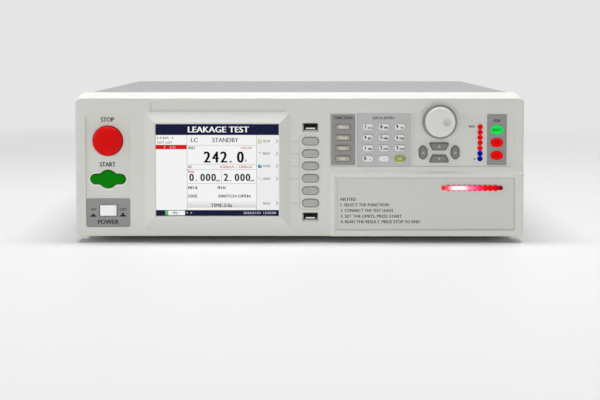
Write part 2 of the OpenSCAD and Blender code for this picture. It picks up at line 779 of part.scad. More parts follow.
module front_bezel() color([0.8, 0.8, 0.77]) place() difference() {
  union() {
    bezel_shell();
    at(screen_x, screen_z)
      taper(surround_w, surround_h, 0, -surround_proud, surround_slope, surround_slope);
    raised_block();
    each_boss() rod(boss_r, face_wall - eps, plate_at);
  }
  face_openings();
  note_recess();
  zone_recess();
  dish();
  at(left_x, left_panel_z + left_panel_h / 2) upright(-over, left_panel_sink)
    rounded_2d(left_panel_w, left_panel_h, 2.5);
  at(screen_x + 0.5, bezel_h - name_down) upright(-over, name_sink) square([name_w, name_h], center = true);
  at(soft_x - 0.7, soft_mid_z) upright(-over, soft_bed_sink)
    rounded_2d(soft_w + 4.8, 5 * soft_pitch + soft_h + 5.6, 3);
  for (i = [0, 1, 2, 3, 5])
    at(0, soft_top_z - i * soft_pitch)
      bar(screen_x + surround_w / 2 + lead_line, soft_x - soft_w / 2 - 3.1, -over, lead_line,
          -lead_line, lead_line);
  each_boss() rod(screw_hole_r, plate_at - 10, plate_at + over);
}

module soft_key(i) color([0.72, 0.71, 0.68]) place() at(soft_x, soft_top_z - i * soft_pitch) {
  pill_cap(soft_w, soft_h, -soft_proud, flange_at, 0.7);
  upright(flange_at, flange_end)
    square([soft_w + 2 * soft_gap + 2 * key_lip, soft_h - soft_gap], center = true);
  stem();
}

module function_key(i) color([0.6, 0.58, 0.52]) place() at(fun_plate_x, row_top_z - i * row_pitch) {
  taper(fun_w, fun_h, plate_face, plate_face - key_proud, 0.7, 0.7);
  upright(plate_face - eps, flange_at) square([fun_w, fun_h], center = true);
  upright(flange_at, flange_end) square([fun_w + 2 * key_lip, fun_h + 2 * key_lip], center = true);
  stem();
}

module number_key(i) color(i == 11 ? [0.55, 0.56, 0.3] : [0.88, 0.88, 0.88]) place() at_num(i) {
  pill_cap(num_w, num_h, plate_face - key_proud, flange_at, 0.9);
  upright(flange_at, flange_end) pill_2d(num_w + 2 * key_lip, num_h + 2 * key_lip);
  stem();
}

module arrow_key(i) color([0.45, 0.45, 0.44]) place() at_arrow(i) {
  upright(zone_sink - key_proud, flange_at) arrow_2d(i, 0);
  upright(flange_at, flange_end) arrow_2d(i, key_lip);
  stem();
}

// Round mushroom cap on a stem that runs back into its switch
module stop_button() color([0.8, 0.02, 0.02]) place() at(left_x, stop_z) {
  turned() edge_profile(stop_r, left_panel_sink - stop_proud, flange_at, 2.2);
  rod(stop_r + 2, flange_at, flange_end);
  rod(stem_r, flange_end - eps, plate_back + stem_in);
}

module start_button() color([0, 0.45, 0.05]) place() at(left_x, start_z) {
  upright(left_panel_sink - 0.8, flange_at) start_2d(0);
  upright(left_panel_sink - 1.6, left_panel_sink - 0.8) start_2d(-0.8);
  upright(flange_at, flange_end) start_2d(1.6);
  rod(stem_r, flange_end - eps, plate_back + stem_in);
}

// Latching button, shown pressed in at ON; its lip leaves room behind the face to pop out to OFF
module power_button() color([0.93, 0.93, 0.92]) place() at(left_x, power_z) {
  taper(power_w, power_h, left_panel_sink, left_panel_sink - 1.6, 0.9, 0.9);
  upright(left_panel_sink - eps, flange_at + power_travel) square([power_w, power_h], center = true);
  upright(flange_at + power_travel, flange_end + power_travel)
    square([power_w + 4, power_h + 3.4], center = true);
  rod(stem_r, flange_end + power_travel - eps, plate_back + stem_in);
}

// Hollow knob with a hub on the encoder's shaft
module jog_knob() place() at(knob_x, knob_z) {
  back = zone_sink - 0.5;
  inside = knob_wall - knob_proud;
  color([0.86, 0.86, 0.84]) difference() {
    turned() difference() {
      union() {
        edge_profile(knob_face_r, -knob_proud, back, 1.6);
        translate([0, -knob_skirt]) square([knob_r - 0.8, knob_skirt + back]);
        translate([0, 0.8 - knob_skirt]) square([knob_r, knob_skirt - 0.8 + back]);
      }
      translate([knob_hub_r, inside]) square([knob_face_r - knob_wall - knob_hub_r, knob_proud]);
      translate([-eps, hub_back]) square([knob_hub_r + 2 * eps, knob_proud]);
      translate([-eps, inside]) square([shaft_r + shaft_fit + eps, knob_proud]);
    }
    translate([dimple_off, -knob_proud + dimple_sink - dimple_ball, 0]) sphere(dimple_ball, $fn = 128);
  }
  color([0.7, 0.7, 0.7]) rod(shaft_r, inside + seat_gap, bore_end - 0.5);
}

module encoder_body() color([0.3, 0.3, 0.32]) place() at(knob_x, knob_z) difference() {
  union() {
    upright(bushing_end, board_at) square([13, 13], center = true);
    rod(bushing_r, hub_back + 0.4, bushing_end + eps);
    rod(bushing_r + 1.8, bushing_end - 0.8, bushing_end + eps);
  }
  rod(shaft_r + shaft_fit, -knob_proud, bore_end);
}

module screen_glass() color([0.1, 0.13, 0.25]) place() at(screen_x, screen_z)
  upright(window_front, window_back) square([screen_w - film_fit, screen_h - film_fit], center = true);

// Display module: metal frame, backlight step and edge connector
module lcd_module() color([0.55, 0.57, 0.6]) place() at(screen_x, screen_z) {
  upright(window_back, window_back + module_d) square([module_w, module_h], center = true);
  upright(window_back + module_d - eps, plate_at) square([module_w - 30, module_h - 30], center = true);
}

module note_plate() color([0.74, 0.74, 0.72]) place() difference() {
  upright(note_floor - note_t, note_floor) translate([(note_x0 + note_x1) / 2, note_z + note_h / 2])
    rounded_2d(note_w, note_h, 1);
  at(danger_x, danger_z) upright(-2 * over, note_floor + over)
    pill_2d(danger_slot_w + lamp_fit, danger_slot_h + lamp_fit);
}

// Row of joined lenses: round lobes with a smaller one at each end, on a light guide
module danger_lamp() color([0.9, 0.05, 0.1]) place() at(danger_x, danger_z) {
  front = note_floor - note_t;
  upright(front - 1.4, front) {
    for (i = [0:danger_lobes - 1]) translate([(i - (danger_lobes - 1) / 2) * danger_pitch, 0])
      circle(danger_r);
    for (s = [-1, 1]) translate([s * (danger_lobes + 1) / 2 * danger_pitch, 0]) circle(danger_end_r);
    square([(danger_lobes + 1) * danger_pitch, 2 * danger_end_r - 0.6], center = true);
  }
  upright(front - eps, board_at) pill_2d(danger_slot_w, danger_slot_h);
}

// Dark plates round the function keys, the status lamps and the power button
module dark_overlays() color([0.55, 0.54, 0.54]) place() difference() {
  union() {
    upright(plate_face, zone_sink) {
      translate([fun_plate_x, (plate_low + plate_high) / 2])
        rounded_2d(fun_plate_w, plate_high - plate_low, 1);
      translate([status_x, (plate_low + plate_high) / 2])
        rounded_2d(status_w, plate_high - plate_low, 1);
    }
    upright(left_panel_sink - film_t, left_panel_sink)
      translate([left_x, left_panel_z + power_plate_h / 2])
        rounded_2d(left_panel_w - film_fit, power_plate_h - film_fit, 2);
  }
  each_fun() upright(-over, zone_sink + over)
    rounded_2d(fun_w + 2 * key_gap + 0.2, fun_h + 2 * key_gap + 0.2, 0.8);
  each_status() upright(-over, zone_sink + over)
    ellipse_2d(status_lamp_w + lamp_fit, status_lamp_h + lamp_fit);
  at(left_x, power_z) upright(-over, left_panel_sink + over)
    rounded_2d(power_w + 2 * button_gap, power_h + 2 * button_gap, 1);
}

// Grey plate round the number keys
module light_overlays() color([0.74, 0.74, 0.75]) place() difference() {
  upright(plate_face, zone_sink) translate([num_plate_x, zone_z + zone_h / 2])
    rounded_2d(num_plate_w, zone_h - film_fit, 0.6);
  each_num() upright(-over, zone_sink + over)
    pill_2d(num_w + 2 * key_gap + 0.2, num_h + 2 * key_gap + 0.2);
}

module level_leds() color([0.9, 0, 0.05]) place() each_level()
  turned() edge_profile(level_r, -0.6, board_at, level_r / 2 - 0.1);

module status_lamps() color([0.85, 0.1, 0.1]) place() each_status() {
  upright(plate_face - 0.6, board_at) ellipse_2d(status_lamp_w, status_lamp_h);
}

// Two upright sockets: a flared shell on the board, a tongue inside
module usb_sockets() color([0.2, 0.2, 0.22]) place() each_host() {
  difference() {
    union() {
      upright(0.4, board_at) square([host_w, host_h], center = true);
      taper(host_w + 1.6, host_h + 1.6, -0.4, 1, 0.8, 0.8);
    }
    upright(-over, board_at - 2.5) square([host_w - 0.8, host_h - 0.8], center = true);
    taper(host_w + 0.8, host_h + 0.8, -0.4 - eps, 1, 0.8, 0.8);
  }
  at(0, -0.9) upright(1, board_at - 2.5 + eps) square([8.8, 1.1], center = true);
}

// Board behind the right half of the bezel with a small switch behind each key
module key_board() color([0.05, 0.35, 0.15]) place() {
  upright(board_at, board_back) translate([(board_x0 + board_x1) / 2, (board_z0 + board_z1) / 2])
    square([board_x1 - board_x0, board_z1 - board_z0], center = true);
  each_soft() key_switch();
  each_fun() key_switch();
  each_num() key_switch();
  for (i = [0:3]) at_arrow(i) key_switch();
}
module key_switch() upright(switch_top, board_at + eps) square([6, 6], center = true);

// Steel sub-panel behind the bezel: stands on the tray and carries the switches and the board
module front_plate() color([0.75, 0.76, 0.78]) place() difference() {
  union() {
    bar(-panel_half, panel_half, plate_at, plate_back, tray_top, cavity_top - over);
    bar(-panel_half, panel_half, plate_at, flange_back, tray_top, tray_top + plate_t);
    both_flanges(plate_at, flange_back);
    for (x = [board_x0 + 24, board_x1 - 6], z = [board_z0 + 5, board_z1 - 5])
      at(x, z) rod(3, board_back, plate_at + eps);
  }
  each_boss() rod(screw_hole_r, plate_at - over, plate_back + over);
  for (z = [stop_z, start_z, power_z]) at(left_x, z) rod(stem_r + 1, plate_at - over, plate_back + over);
  at(screen_x, screen_z) upright(plate_at - over, plate_back + over)
    square([module_w - 60, 14], center = true);
  side_screw_holes(screw_hole_r);
}

// Side flanges of the sub-panel and the rear panel, inside the tray's walls
module both_flanges(d0, d1) for (s = [0, 1]) mirror([s, 0, 0])
  bar(panel_half - plate_t, panel_half, d0, d1, tray_top, tray_wall_z);

// Bodies of the STOP, START and power switches behind the sub-panel
module push_switches() color([0.15, 0.15, 0.16]) place() difference() {
  for (b = [[stop_z, 24, 24, 22], [start_z, 20, 20, 20], [power_z, 14, 12, 32]])
    at(left_x, b[0]) upright(plate_back, plate_back + b[3]) square([b[1], b[2]], center = true);
  for (w = [[stop_z, stop_travel], [start_z, start_travel], [power_z, power_over]])
    at(left_x, w[0]) rod(stem_r + 0.4, plate_back - over, plate_back + stem_in + w[1] + over);
}

// Section of the cover or its inside: open below, bent at the top corners
module arch_2d(half, z0, z1, r) {
  translate([-half, z0]) square([2 * half, z1 - z0 - r]);
  translate([r - half, z1 - 2 * r]) square([2 * (half - r), 2 * r]);
  for (s = [-1, 1]) translate([s * (half - r), z1 - r]) circle(r);
}

module case_cover() color([0.73, 0.74, 0.74]) place() difference() {
  upright(bezel_d, case_d) difference() {
    arch_2d(cover_half, tray_step, cover_top, bend_r);
    arch_2d(cover_in, tray_step - over, panel_top, max(bend_r - cover_t, 0.5));
  }
  for (z = vent_rows, i = [0:vent_count - 1])
    across(-cover_half - over, cover_half + over)
      translate([case_d - vent_back - i * vent_pitch, z]) rotate(90) pill_2d(vent_h, vent_w);
  side_screw_holes(screw_hole_r);
}

// Folded tray with upright sides, board standoffs and air slots
module bottom_tray() color([0.72, 0.73, 0.74]) place() difference() {
  union() {
    upright(bezel_d, rear_back) difference() {
      translate([-cover_in, tray_step]) square([2 * cover_in, tray_wall_z - tray_step]);
      translate([plate_t - cover_in, tray_top]) square([2 * (cover_in - plate_t), tray_wall_h + over]);
    }
    for (p = concat(main_posts, meter_posts))
      translate([p[0], p[1], tray_top - eps]) cylinder(r = 3, h = standoff_h + eps);
  }
  for (i = [0:slot_count - 1]) rising(tray_step - over, tray_top + over)
    translate([slot_x0 + i * vent_pitch, slot_d]) rotate(90) pill_2d(vent_h, vent_w);
  each_foot() translate([0, 0, tray_step - over]) cylinder(r = screw_hole_r, h = plate_t + 2 * over);
  side_screw_holes(screw_hole_r);
}

module each_foot() for (x = [-foot_x, foot_x], d = [foot_front, foot_back]) translate([x, d, 0]) children();
module side_screw_places() for (s = [-1, 1], d = side_screws) translate([s * cover_half, d, side_screw_z])
  rotate([0, 0, 90 * s]) children();
module side_screw_holes(r) side_screw_places() rod(r, -over, side_screw_reach);

// Rubber foot: wider at the top, with a deep recess for its screw
module feet() color([0.08, 0.08, 0.08]) place() each_foot() difference() {
  translate([0, 0, tray_step - foot_h]) cylinder(r1 = foot_r - 1.5, r2 = foot_r, h = foot_h);
  translate([0, 0, tray_step - foot_h - over]) cylinder(r = 4, h = foot_h - 2.5 + over);
  translate([0, 0, tray_step - 3]) cylinder(r = screw_hole_r, h = 3 + over);
}

// Flanged rear panel with openings for the fan, the inlet, the sockets and the ports
module rear_panel() color([0.72, 0.73, 0.74]) place() difference() {
  union() {
    bar(-panel_half, panel_half, rear_back, rear_face, tray_top, panel_top);
    bar(-panel_half, panel_half, rear_back - panel_fold, rear_back + eps, panel_top - plate_t, panel_top);
    both_flanges(rear_back - panel_fold, rear_back + eps);
  }
  at(fan_x, fan_z) rod(fan_bore_r, rear_back - over, rear_face + over);
  each_fan_hole() rod(screw_hole_r, rear_back - over, rear_face + over);
  at(inlet_x, inlet_z) upright(rear_back - over, rear_face + over)
    square([inlet_w + opening_fit, inlet_h + opening_fit], center = true);
  for (s = [-1, 1]) at(inlet_x + s * flange_hole_x, inlet_z)
    rod(screw_hole_r, rear_back - over, rear_face + over);
  each_socket() rod(socket_body_r + 0.1, rear_back - over, rear_face + over);
  at(port_x, port_z) upright(rear_back - over, rear_face + over) square([20, 11], center = true);
  at(port_x + 40, port_z) upright(rear_back - over, rear_face + over) square([12.6, 11.6], center = true);
  side_screw_holes(screw_hole_r);
}

module each_fan_hole() for (sx = [-1, 1], sz = [-1, 1])
  at(fan_x + sx * fan_hole_pitch, fan_z + sz * fan_hole_pitch) children();
module each_socket() for (i = [0:3]) at(right - socket_in - i * socket_pitch, socket_z) children();

// Square fan frame with a round duct, three struts and a bearing tube
module fan_frame() color([0.1, 0.1, 0.11]) place() difference() {
  union() {
    difference() {
      at(fan_x, fan_z) upright(fan_front, rear_back) rounded_2d(fan_side, fan_side, 4);
      at(fan_x, fan_z) rod(fan_bore_r, fan_front - over, rear_back + over);
    }
    at(fan_x, fan_z) {
      rod(hub_r - 1, rear_back - strut_d, rear_back);
      rod(fan_shaft_r + 2.5, fan_front + 6, rear_back - strut_d + eps);
      rod(hub_r - 4.5, fan_front + 10, rear_back - 4);
      for (a = [90, 210, 330]) rotate([0, a, 0])
        bar(hub_r - 2, fan_bore_r + 1, rear_back - strut_d, rear_back, -2, 2);
    }
  }
  at(fan_x, fan_z) rod(fan_shaft_r + shaft_fit, fan_front + 5, rear_back - 1);
  each_fan_hole() rod(screw_hole_r, fan_front - over, rear_back + over);
}

// Cup-shaped hub with cambered, tilted blades, running on a shaft in the bearing tube
module fan_rotor() color([0.12, 0.12, 0.13]) place() at(fan_x, fan_z) {
  difference() {
    rod(hub_r, fan_front + 1.5, rear_back - 5);
    rod(hub_r - 2, fan_front + 4.5, rear_back);
  }
  rod(fan_shaft_r, fan_front + 4, rear_back - 2);
  intersection() {
    difference() {
      rod(fan_bore_r - 1, fan_front, rear_back - 4);
      rod(hub_r - 1, fan_front - over, rear_back);
    }
    for (i = [0:blade_count - 1]) rotate([0, i * 360 / blade_count, 0])
      translate([0, fan_front + 11, 0]) rotate([blade_tilt, 0, 0]) rotate([0, 90, 0])
        linear_extrude(fan_bore_r + 4) blade_2d();
  }
}

// Cambered section of a fan blade
module blade_2d() intersection() {
  translate([blade_bow, 0]) difference() {
    circle(blade_bow + blade_t / 2);
    circle(blade_bow - blade_t / 2);
  }
  translate([-4, -blade_chord / 2]) square([10, blade_chord]);
}

// Finger guard: flat rings on four legs that end in eyes under the fan's screws
module fan_guard() color([0.75, 0.75, 0.77]) place() difference() {
  union() {
    at(fan_x, fan_z) upright(guard_at, guard_end) {
      for (r = [8:guard_pitch:fan_bore_r - 1]) difference() {
        circle(r + 0.8);
        circle(r - 0.8);
      }
      for (a = [45, 135]) rotate(a) square([2 * fan_hole_pitch * sqrt(2), 1.8], center = true);
      circle(3);
    }
    each_fan_hole() rod(3.6, rear_face, guard_end);
  }
  each_fan_hole() rod(screw_hole_r, rear_face - over, guard_end + over);
}

// Appliance inlet: flange, cavity with three blades, and a slot below for the fuse drawer
module mains_inlet() color([0.08, 0.08, 0.09]) place() at(inlet_x, 0) {
  difference() {
    union() {
      at(0, inlet_z) upright(inlet_front, rear_face + eps) square([inlet_w, inlet_h], center = true);
      at(0, inlet_z) upright(rear_face, flange_face) rounded_2d(flange_w, flange_h, 3);
    }
    at(0, plug_z) upright(flange_face - cavity_deep, flange_face + over) plug_2d();
    at(0, slot_z) upright(inlet_front + 2, flange_face + over) square([cavity_w, slot_h], center = true);
    for (s = [-1, 1]) at(s * flange_hole_x, inlet_z)
      rod(screw_hole_r, rear_face - over, flange_face + over);
  }
  for (p = [[-7, -1.6], [7, -1.6], [0, 3.6]]) at(p[0], plug_z + p[1])
    upright(inlet_front - 6, flange_face - pin_sunk) square([2, 4], center = true);
}
module plug_2d() polygon([[-cavity_w / 2, -cavity_h / 2], [cavity_w / 2, -cavity_h / 2],
  [cavity_w / 2, cavity_h / 2 - 4.5], [cavity_w / 2 - 4.5, cavity_h / 2],
  [4.5 - cavity_w / 2, cavity_h / 2], [-cavity_w / 2, cavity_h / 2 - 4.5]]);

// Drawer that pulls out backwards with the fuse lying in its cradle
module fuse_drawer() color([0.1, 0.1, 0.11]) place() at(inlet_x, slot_z) {
  half_h = slot_h / 2 - drawer_gap;
  fuse_at = inlet_front + 3.4;
  difference() {
    union() {
      upright(inlet_front + 2 + drawer_gap, flange_face)
        square([cavity_w - 2 * drawer_gap, 2 * half_h], center = true);
      upright(flange_face - eps, flange_face + 2) square([cavity_w - 5, 2 * half_h - 1.2], center = true);
    }
    bar(-fuse_r - fuse_gap, fuse_r + fuse_gap, fuse_at - fuse_gap, fuse_at + fuse_l + fuse_gap,
        1 - half_h, half_h + over);
  }
  at(0, 1 - half_h + fuse_r) rod(fuse_r, fuse_at, fuse_at + fuse_l);
}

// Shrouded sockets for the test leads: plastic body, brass tube in the middle
module test_sockets() color([0.75, 0.1, 0.08]) place() each_socket() {
  turned() difference() {
    union() {
      translate([0, rear_face - socket_body_d])
        square([socket_body_r, socket_body_d + rear_in + socket_proud]);
      translate([0, rear_face]) square([socket_body_r + 3, 3]);
      translate([0, rear_back - 3.5]) square([socket_body_r + 2, 3.5]);
    }
    translate([socket_tube_r, rear_face - socket_body_d + 6])
      square([socket_body_r - socket_wall - socket_tube_r, socket_body_d + socket_proud]);
    translate([-eps, rear_face - socket_body_d + 8])
      square([socket_tube_r - 1.2 + eps, socket_body_d + socket_proud]);
    translate([-eps, case_d + socket_proud - 5]) square([socket_body_r - socket_wall, 5 + over]);
  }
}

// Nine-way port with its shell and nuts, and a square host port, on a small board
module data_ports() color([0.6, 0.62, 0.64]) place() at(port_x, port_z) {
  upright(rear_face, rear_face + 1) rounded_2d(30.8, 12.5, 1.5);
  difference() {
    upright(rear_face - 8, rear_face + 6) trapezoid_2d(16.9, 8.4);
    upright(rear_face + 0.5, rear_face + 6 + over) trapezoid_2d(15.7, 7.2);
  }
  for (i = [0:8]) at((i < 5 ? i - 2 : i - 6.5) * pin_pitch, i < 5 ? pin_pitch / 2 : -pin_pitch / 2)
    rod(0.5, rear_face + 0.5 - eps, rear_face + 5);
  for (s = [-1, 1]) at(s * 12.5, 0) rod(2.6, rear_face + 1 - eps, rear_face + 5, $fn = 6);
  difference() {
    at(40, 0) upright(rear_face - 15, rear_face + 0.8) square([12, 11], center = true);
    at(40, 0) upright(rear_face - 8, rear_face + 2) square([8.6, 7.8], center = true);
  }
  at(40, 0) upright(rear_face - 8 - eps, rear_face - 1) square([5.6, 3.2], center = true);
  bar(-16, 50, rear_face - 40, rear_back - 1, -7.1, -5.5);
}
module trapezoid_2d(w, h)
  polygon([[1 - w / 2, -h / 2], [w / 2 - 1, -h / 2], [w / 2, h / 2], [-w / 2, h / 2]]);

// Toroidal transformer with its clamping dish and bolt
module transformer() color([0.75, 0.6, 0.2]) place() translate([toroid_x, toroid_y, tray_top]) {
  rotate_extrude() translate([(toroid_r + toroid_in) / 2, toroid_h / 2])
    rounded_2d(toroid_r - toroid_in, toroid_h, 6);
  translate([0, 0, toroid_h - 3]) cylinder(r = toroid_in + 8, h = 5);
  cylinder(r = 4, h = toroid_h + 6);
  translate([0, 0, toroid_h + 2]) cylinder(r = 7, h = 5, $fn = 6);
}

// Open-frame supply: folded bracket, board, capacitors, chokes and a terminal strip
module power_supply() color([0.7, 0.7, 0.72]) place() translate([supply_x, supply_y, tray_top]) {
  cube([supply_w, supply_l, plate_t]);
  cube([plate_t, supply_l, 38]);
  for (x = [8, supply_w - 8], y = [10, supply_l - 10])
    translate([x, y, plate_t - eps]) cylinder(r = 3, h = supply_lift);
  translate([3, 3, plate_t + supply_lift - eps]) cube([supply_w - 6, supply_l - 6, board_t]);
  translate([0, 0, plate_t + supply_lift + board_t - 2 * eps]) {
    for (i = [0:1]) translate([22, 30 + 24 * i, 0]) cylinder(r = 10, h = 26);
    translate([42, 26, 0]) cube([34, 36, 24]);
    translate([10, supply_l - 40, 0]) cube([16, 28, 22]);
    translate([34, supply_l - 34, 0]) cylinder(r = 7, h = 20);
    translate([52, supply_l - 40, 0]) cube([24, 4, 26]);
    translate([10, 5, 0]) cube([64, 11, 9]);
    for (i = [0:7]) translate([10 + 9 * i, 5, 9 - eps]) cube([1.2, 11, 6]);
  }
}

// Controller board with its chips, heat sink, capacitors and connectors
module main_board() color([0.05, 0.35, 0.15]) place() translate([board2_x, board2_y, boards_z]) {
  pitch = (board2_w - 48) / 2;
  cube([board2_w, board2_l, board_t]);
  translate([0, 0, board_t - eps]) {
    for (i = [0:2], j = [0:1]) translate([16 + pitch * i, 24 + 60 * j, 0]) cube([22, 14, 3]);
    translate([20, 140, 0]) cube([40, 24, 3]);
    for (i = [0:7]) translate([20 + 5.5 * i, 140, 3 - eps]) cube([1.5, 24, 14]);
    for (i = [0:3]) translate([80, 128 + 14 * i, 0]) cylinder(r = 5, h = 15);
    for (i = [0:2]) translate([12 + pitch * i, 4, 0]) cube([26, 8, 9]);
  }
}

// Measuring board: relays, body-model resistors and the lead connector
module measuring_board() color([0.05, 0.3, 0.2]) place() translate([meter_x, meter_y, boards_z]) {
  cube([meter_w, meter_l, board_t]);
  translate([0, 0, board_t - eps]) {
    for (i = [0:3], j = [0:1]) translate([10 + 30 * i, 16 + 36 * j, 0]) cube([20, 26, 16]);
    for (i = [0:5]) translate([14 + 18 * i, 92, 4.5]) rotate([0, 90, 0]) cylinder(r = 3.5, h = 14);
    for (i = [0:5]) translate([16 + 18 * i, 90.5, 0]) cube([10, 3, 2]);
    translate([20, meter_l - 14, 0]) cube([90, 10, 12]);
  }
}

// Domed screw with a cross recess; its head's seat is at depth 0
module screw(reach) difference() {
  union() {
    turned() intersection() {
      translate([0, -head_h]) square([head_r, head_h]);
      translate([0, dome_r - head_h]) circle(dome_r);
    }
    rod(screw_r, -eps, reach);
  }
  for (a = [0, 90]) rotate([0, a, 0])
    taper(2 * cross_r, cross_w, -head_h - eps, cross_in - head_h, 0.9, 0.1);
}
// Screws of the case, the feet, the bezel, the fan and the inlet
module screws() color([0.8, 0.8, 0.82]) place() {
  side_screw_places() screw(side_screw_reach - 1);
  each_foot() translate([0, 0, tray_step - 2.5]) rotate([90, 0, 0]) screw(6);
  each_boss() translate([0, plate_back, 0]) mirror([0, 1, 0]) screw(8);
  each_fan_hole() translate([0, guard_end, 0]) mirror([0, 1, 0]) screw(14);
  for (s = [-1, 1]) at(inlet_x + s * flange_hole_x, inlet_z) translate([0, flange_face, 0])
    mirror([0, 1, 0]) screw(8);
}

front_bezel();
case_cover();
bottom_tray();
rear_panel();
front_plate();
note_plate();
dark_overlays();
light_overlays();
screen_glass();
lcd_module();
status_lamps();
level_leds();
danger_lamp();
key_board();
usb_sockets();
encoder_body();
feet();
main_board();
transformer();
power_supply();
mains_inlet();
fan_frame();
fan_guard();
test_sockets();
data_ports();
screws();
push_switches();
measuring_board();
stop_button();
start_button();
power_button();
jog_knob();
fan_rotor();
fuse_drawer();
for (i = [0:5]) soft_key(i);
for (i = [0:3]) function_key(i);
for (i = [0:11]) number_key(i);
for (i = [0:3]) arrow_key(i);
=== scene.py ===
import json
import math

import bmesh
import bpy
import numpy as np
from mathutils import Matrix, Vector


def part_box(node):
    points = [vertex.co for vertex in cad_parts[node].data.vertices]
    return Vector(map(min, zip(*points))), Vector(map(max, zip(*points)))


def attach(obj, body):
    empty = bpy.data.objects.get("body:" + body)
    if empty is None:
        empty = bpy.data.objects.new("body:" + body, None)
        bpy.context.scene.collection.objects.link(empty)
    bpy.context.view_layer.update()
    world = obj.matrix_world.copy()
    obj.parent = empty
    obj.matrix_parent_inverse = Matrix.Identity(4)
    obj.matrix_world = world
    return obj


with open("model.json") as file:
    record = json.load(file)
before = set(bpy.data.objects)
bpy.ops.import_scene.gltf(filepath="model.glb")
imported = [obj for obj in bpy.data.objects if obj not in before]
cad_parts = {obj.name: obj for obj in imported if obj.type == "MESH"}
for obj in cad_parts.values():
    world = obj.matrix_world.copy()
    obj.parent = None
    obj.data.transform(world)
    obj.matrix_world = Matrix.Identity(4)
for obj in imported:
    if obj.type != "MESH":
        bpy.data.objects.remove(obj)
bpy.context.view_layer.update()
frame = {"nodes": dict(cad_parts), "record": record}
scene = bpy.context.scene
scene.view_settings.view_transform = "Standard"

bezelLow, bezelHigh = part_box("front_bezel")
# where depth 0 and height 0 of the front lie, in metres from the bezel's box
panel = {"bezelDepth": 0.026, "rim": 0.0005}
panel["face"] = bezelHigh.y - panel["bezelDepth"]
panel["base"] = bezelLow.z + panel["rim"]
ink = {"proud": 0.03, "sunk": 0.05}  # mm that printing stands on and reaches into its ground


# x, depth and height on the panel, in mm, of the middle of a node's front; the rounding to a hundredth
# evens out facetted rims
def frontOf(node):
    low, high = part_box(node)
    place = (low.x + high.x) / 2, low.y - panel["face"], (low.z + high.z) / 2 - panel["base"]
    return [round(1000 * metres, 2) for metres in place]


def sizeOf(node):  # width and height of a node in mm
    low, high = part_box(node)
    return round(1000 * (high.x - low.x), 2), round(1000 * (high.z - low.z), 2)


# screen colour to the shader's linear colour, by the sRGB curve: c / 12.92 below 0.04045, else
# ((c + 0.055) / 1.055) to the power 2.4
def linear(red, green, blue):
    parts = [c / 12.92 if c <= 0.04045 else ((c + 0.055) / 1.055) ** 2.4 for c in (red, green, blue)]
    return (*parts, 1.0)


def grey(level):
    return linear(level, level, level)


def newMaterial(name):
    made = bpy.data.materials.new(name)
    made.use_nodes = True
    return made, made.node_tree, made.node_tree.nodes["Principled BSDF"]


def addNode(tree, kind, **inputs):
    node = tree.nodes.new(kind)
    for key, value in inputs.items():
        node.inputs[key.replace("_", " ")].default_value = value
    return node


def objectPoint(tree, scale=(1, 1, 1), shift=(0, 0, 0)):  # Object coordinates, scaled after a shift
    where = tree.nodes.new("ShaderNodeTexCoord")
    mapping = addNode(tree, "ShaderNodeMapping", Location=shift, Scale=scale)
    tree.links.new(where.outputs["Object"], mapping.inputs["Vector"])
    return mapping.outputs["Vector"]


def cloud(tree, point, scale, detail=2.0, rough=0.5):
    noise = addNode(tree, "ShaderNodeTexNoise", Scale=scale, Detail=detail, Roughness=rough)
    tree.links.new(point, noise.inputs["Vector"])
    return noise.outputs["Fac"]


def blendColours(tree, factor, first, second):
    mix = tree.nodes.new("ShaderNodeMix")
    mix.data_type = "RGBA"
    tree.links.new(factor, mix.inputs[0])
    for socket, value in ((mix.inputs[6], first), (mix.inputs[7], second)):
        if hasattr(value, "links"):
            tree.links.new(value, socket)
        else:
            socket.default_value = value
    return mix.outputs[2]


def scaled(tree, factor, low, high, fromLow=0.3, fromHigh=0.7):  # maps a noise to a range of values
    spread = tree.nodes.new("ShaderNodeMapRange")
    for key, value in (("From Min", fromLow), ("From Max", fromHigh), ("To Min", low), ("To Max", high)):
        spread.inputs[key].default_value = value
    tree.links.new(factor, spread.inputs["Value"])
    return spread.outputs["Result"]


def reliefFrom(tree, shader, height, depth, edge=0.0):  # edge: mm over which the light rounds an edge
    bump = addNode(tree, "ShaderNodeBump", Strength=1.0, Distance=depth)
    tree.links.new(height, bump.inputs["Height"])
    if edge:
        rounded = addNode(tree, "ShaderNodeBevel", Radius=edge / 1000)
        rounded.samples = 6
        tree.links.new(rounded.outputs["Normal"], bump.inputs["Normal"])
    tree.links.new(bump.outputs["Normal"], shader.inputs["Normal"])


def shade(colour, amount):
    return (*[min(1.0, c * amount) for c in colour[:3]], 1.0)


grainLook = {"driftSize": 14, "glossSize": 60, "glossSpread": 0.05, "coatRough": 0.08}


# moulded plastic or paint: a fine grain in relief, a slow drift of colour and of gloss
def grainFinish(name, colour, rough=0.45, grain=0.35, depth=0.012, drift=0.03, coat=0.0, specular=0.5,
                streak=(1, 1, 1), glow=0.0, edge=0.0):
    made, tree, shader = newMaterial(name)
    fine = cloud(tree, objectPoint(tree, streak), 1000 / grain, 3.0, 0.6)
    slow = cloud(tree, objectPoint(tree), grainLook["driftSize"], 3.0)
    base = blendColours(tree, slow, shade(colour, 1 - drift), shade(colour, 1 + drift))
    tree.links.new(base, shader.inputs["Base Color"])
    patchy, spread = cloud(tree, objectPoint(tree), grainLook["glossSize"]), grainLook["glossSpread"]
    tree.links.new(scaled(tree, patchy, rough - spread, rough + spread), shader.inputs["Roughness"])
    reliefFrom(tree, shader, fine, depth / 1000, edge)
    shader.inputs["Coat Weight"].default_value = coat
    shader.inputs["Coat Roughness"].default_value = grainLook["coatRough"]
    shader.inputs["Specular IOR Level"].default_value = specular
    if glow:
        tree.links.new(base, shader.inputs["Emission Color"])
        shader.inputs["Emission Strength"].default_value = glow
    return made


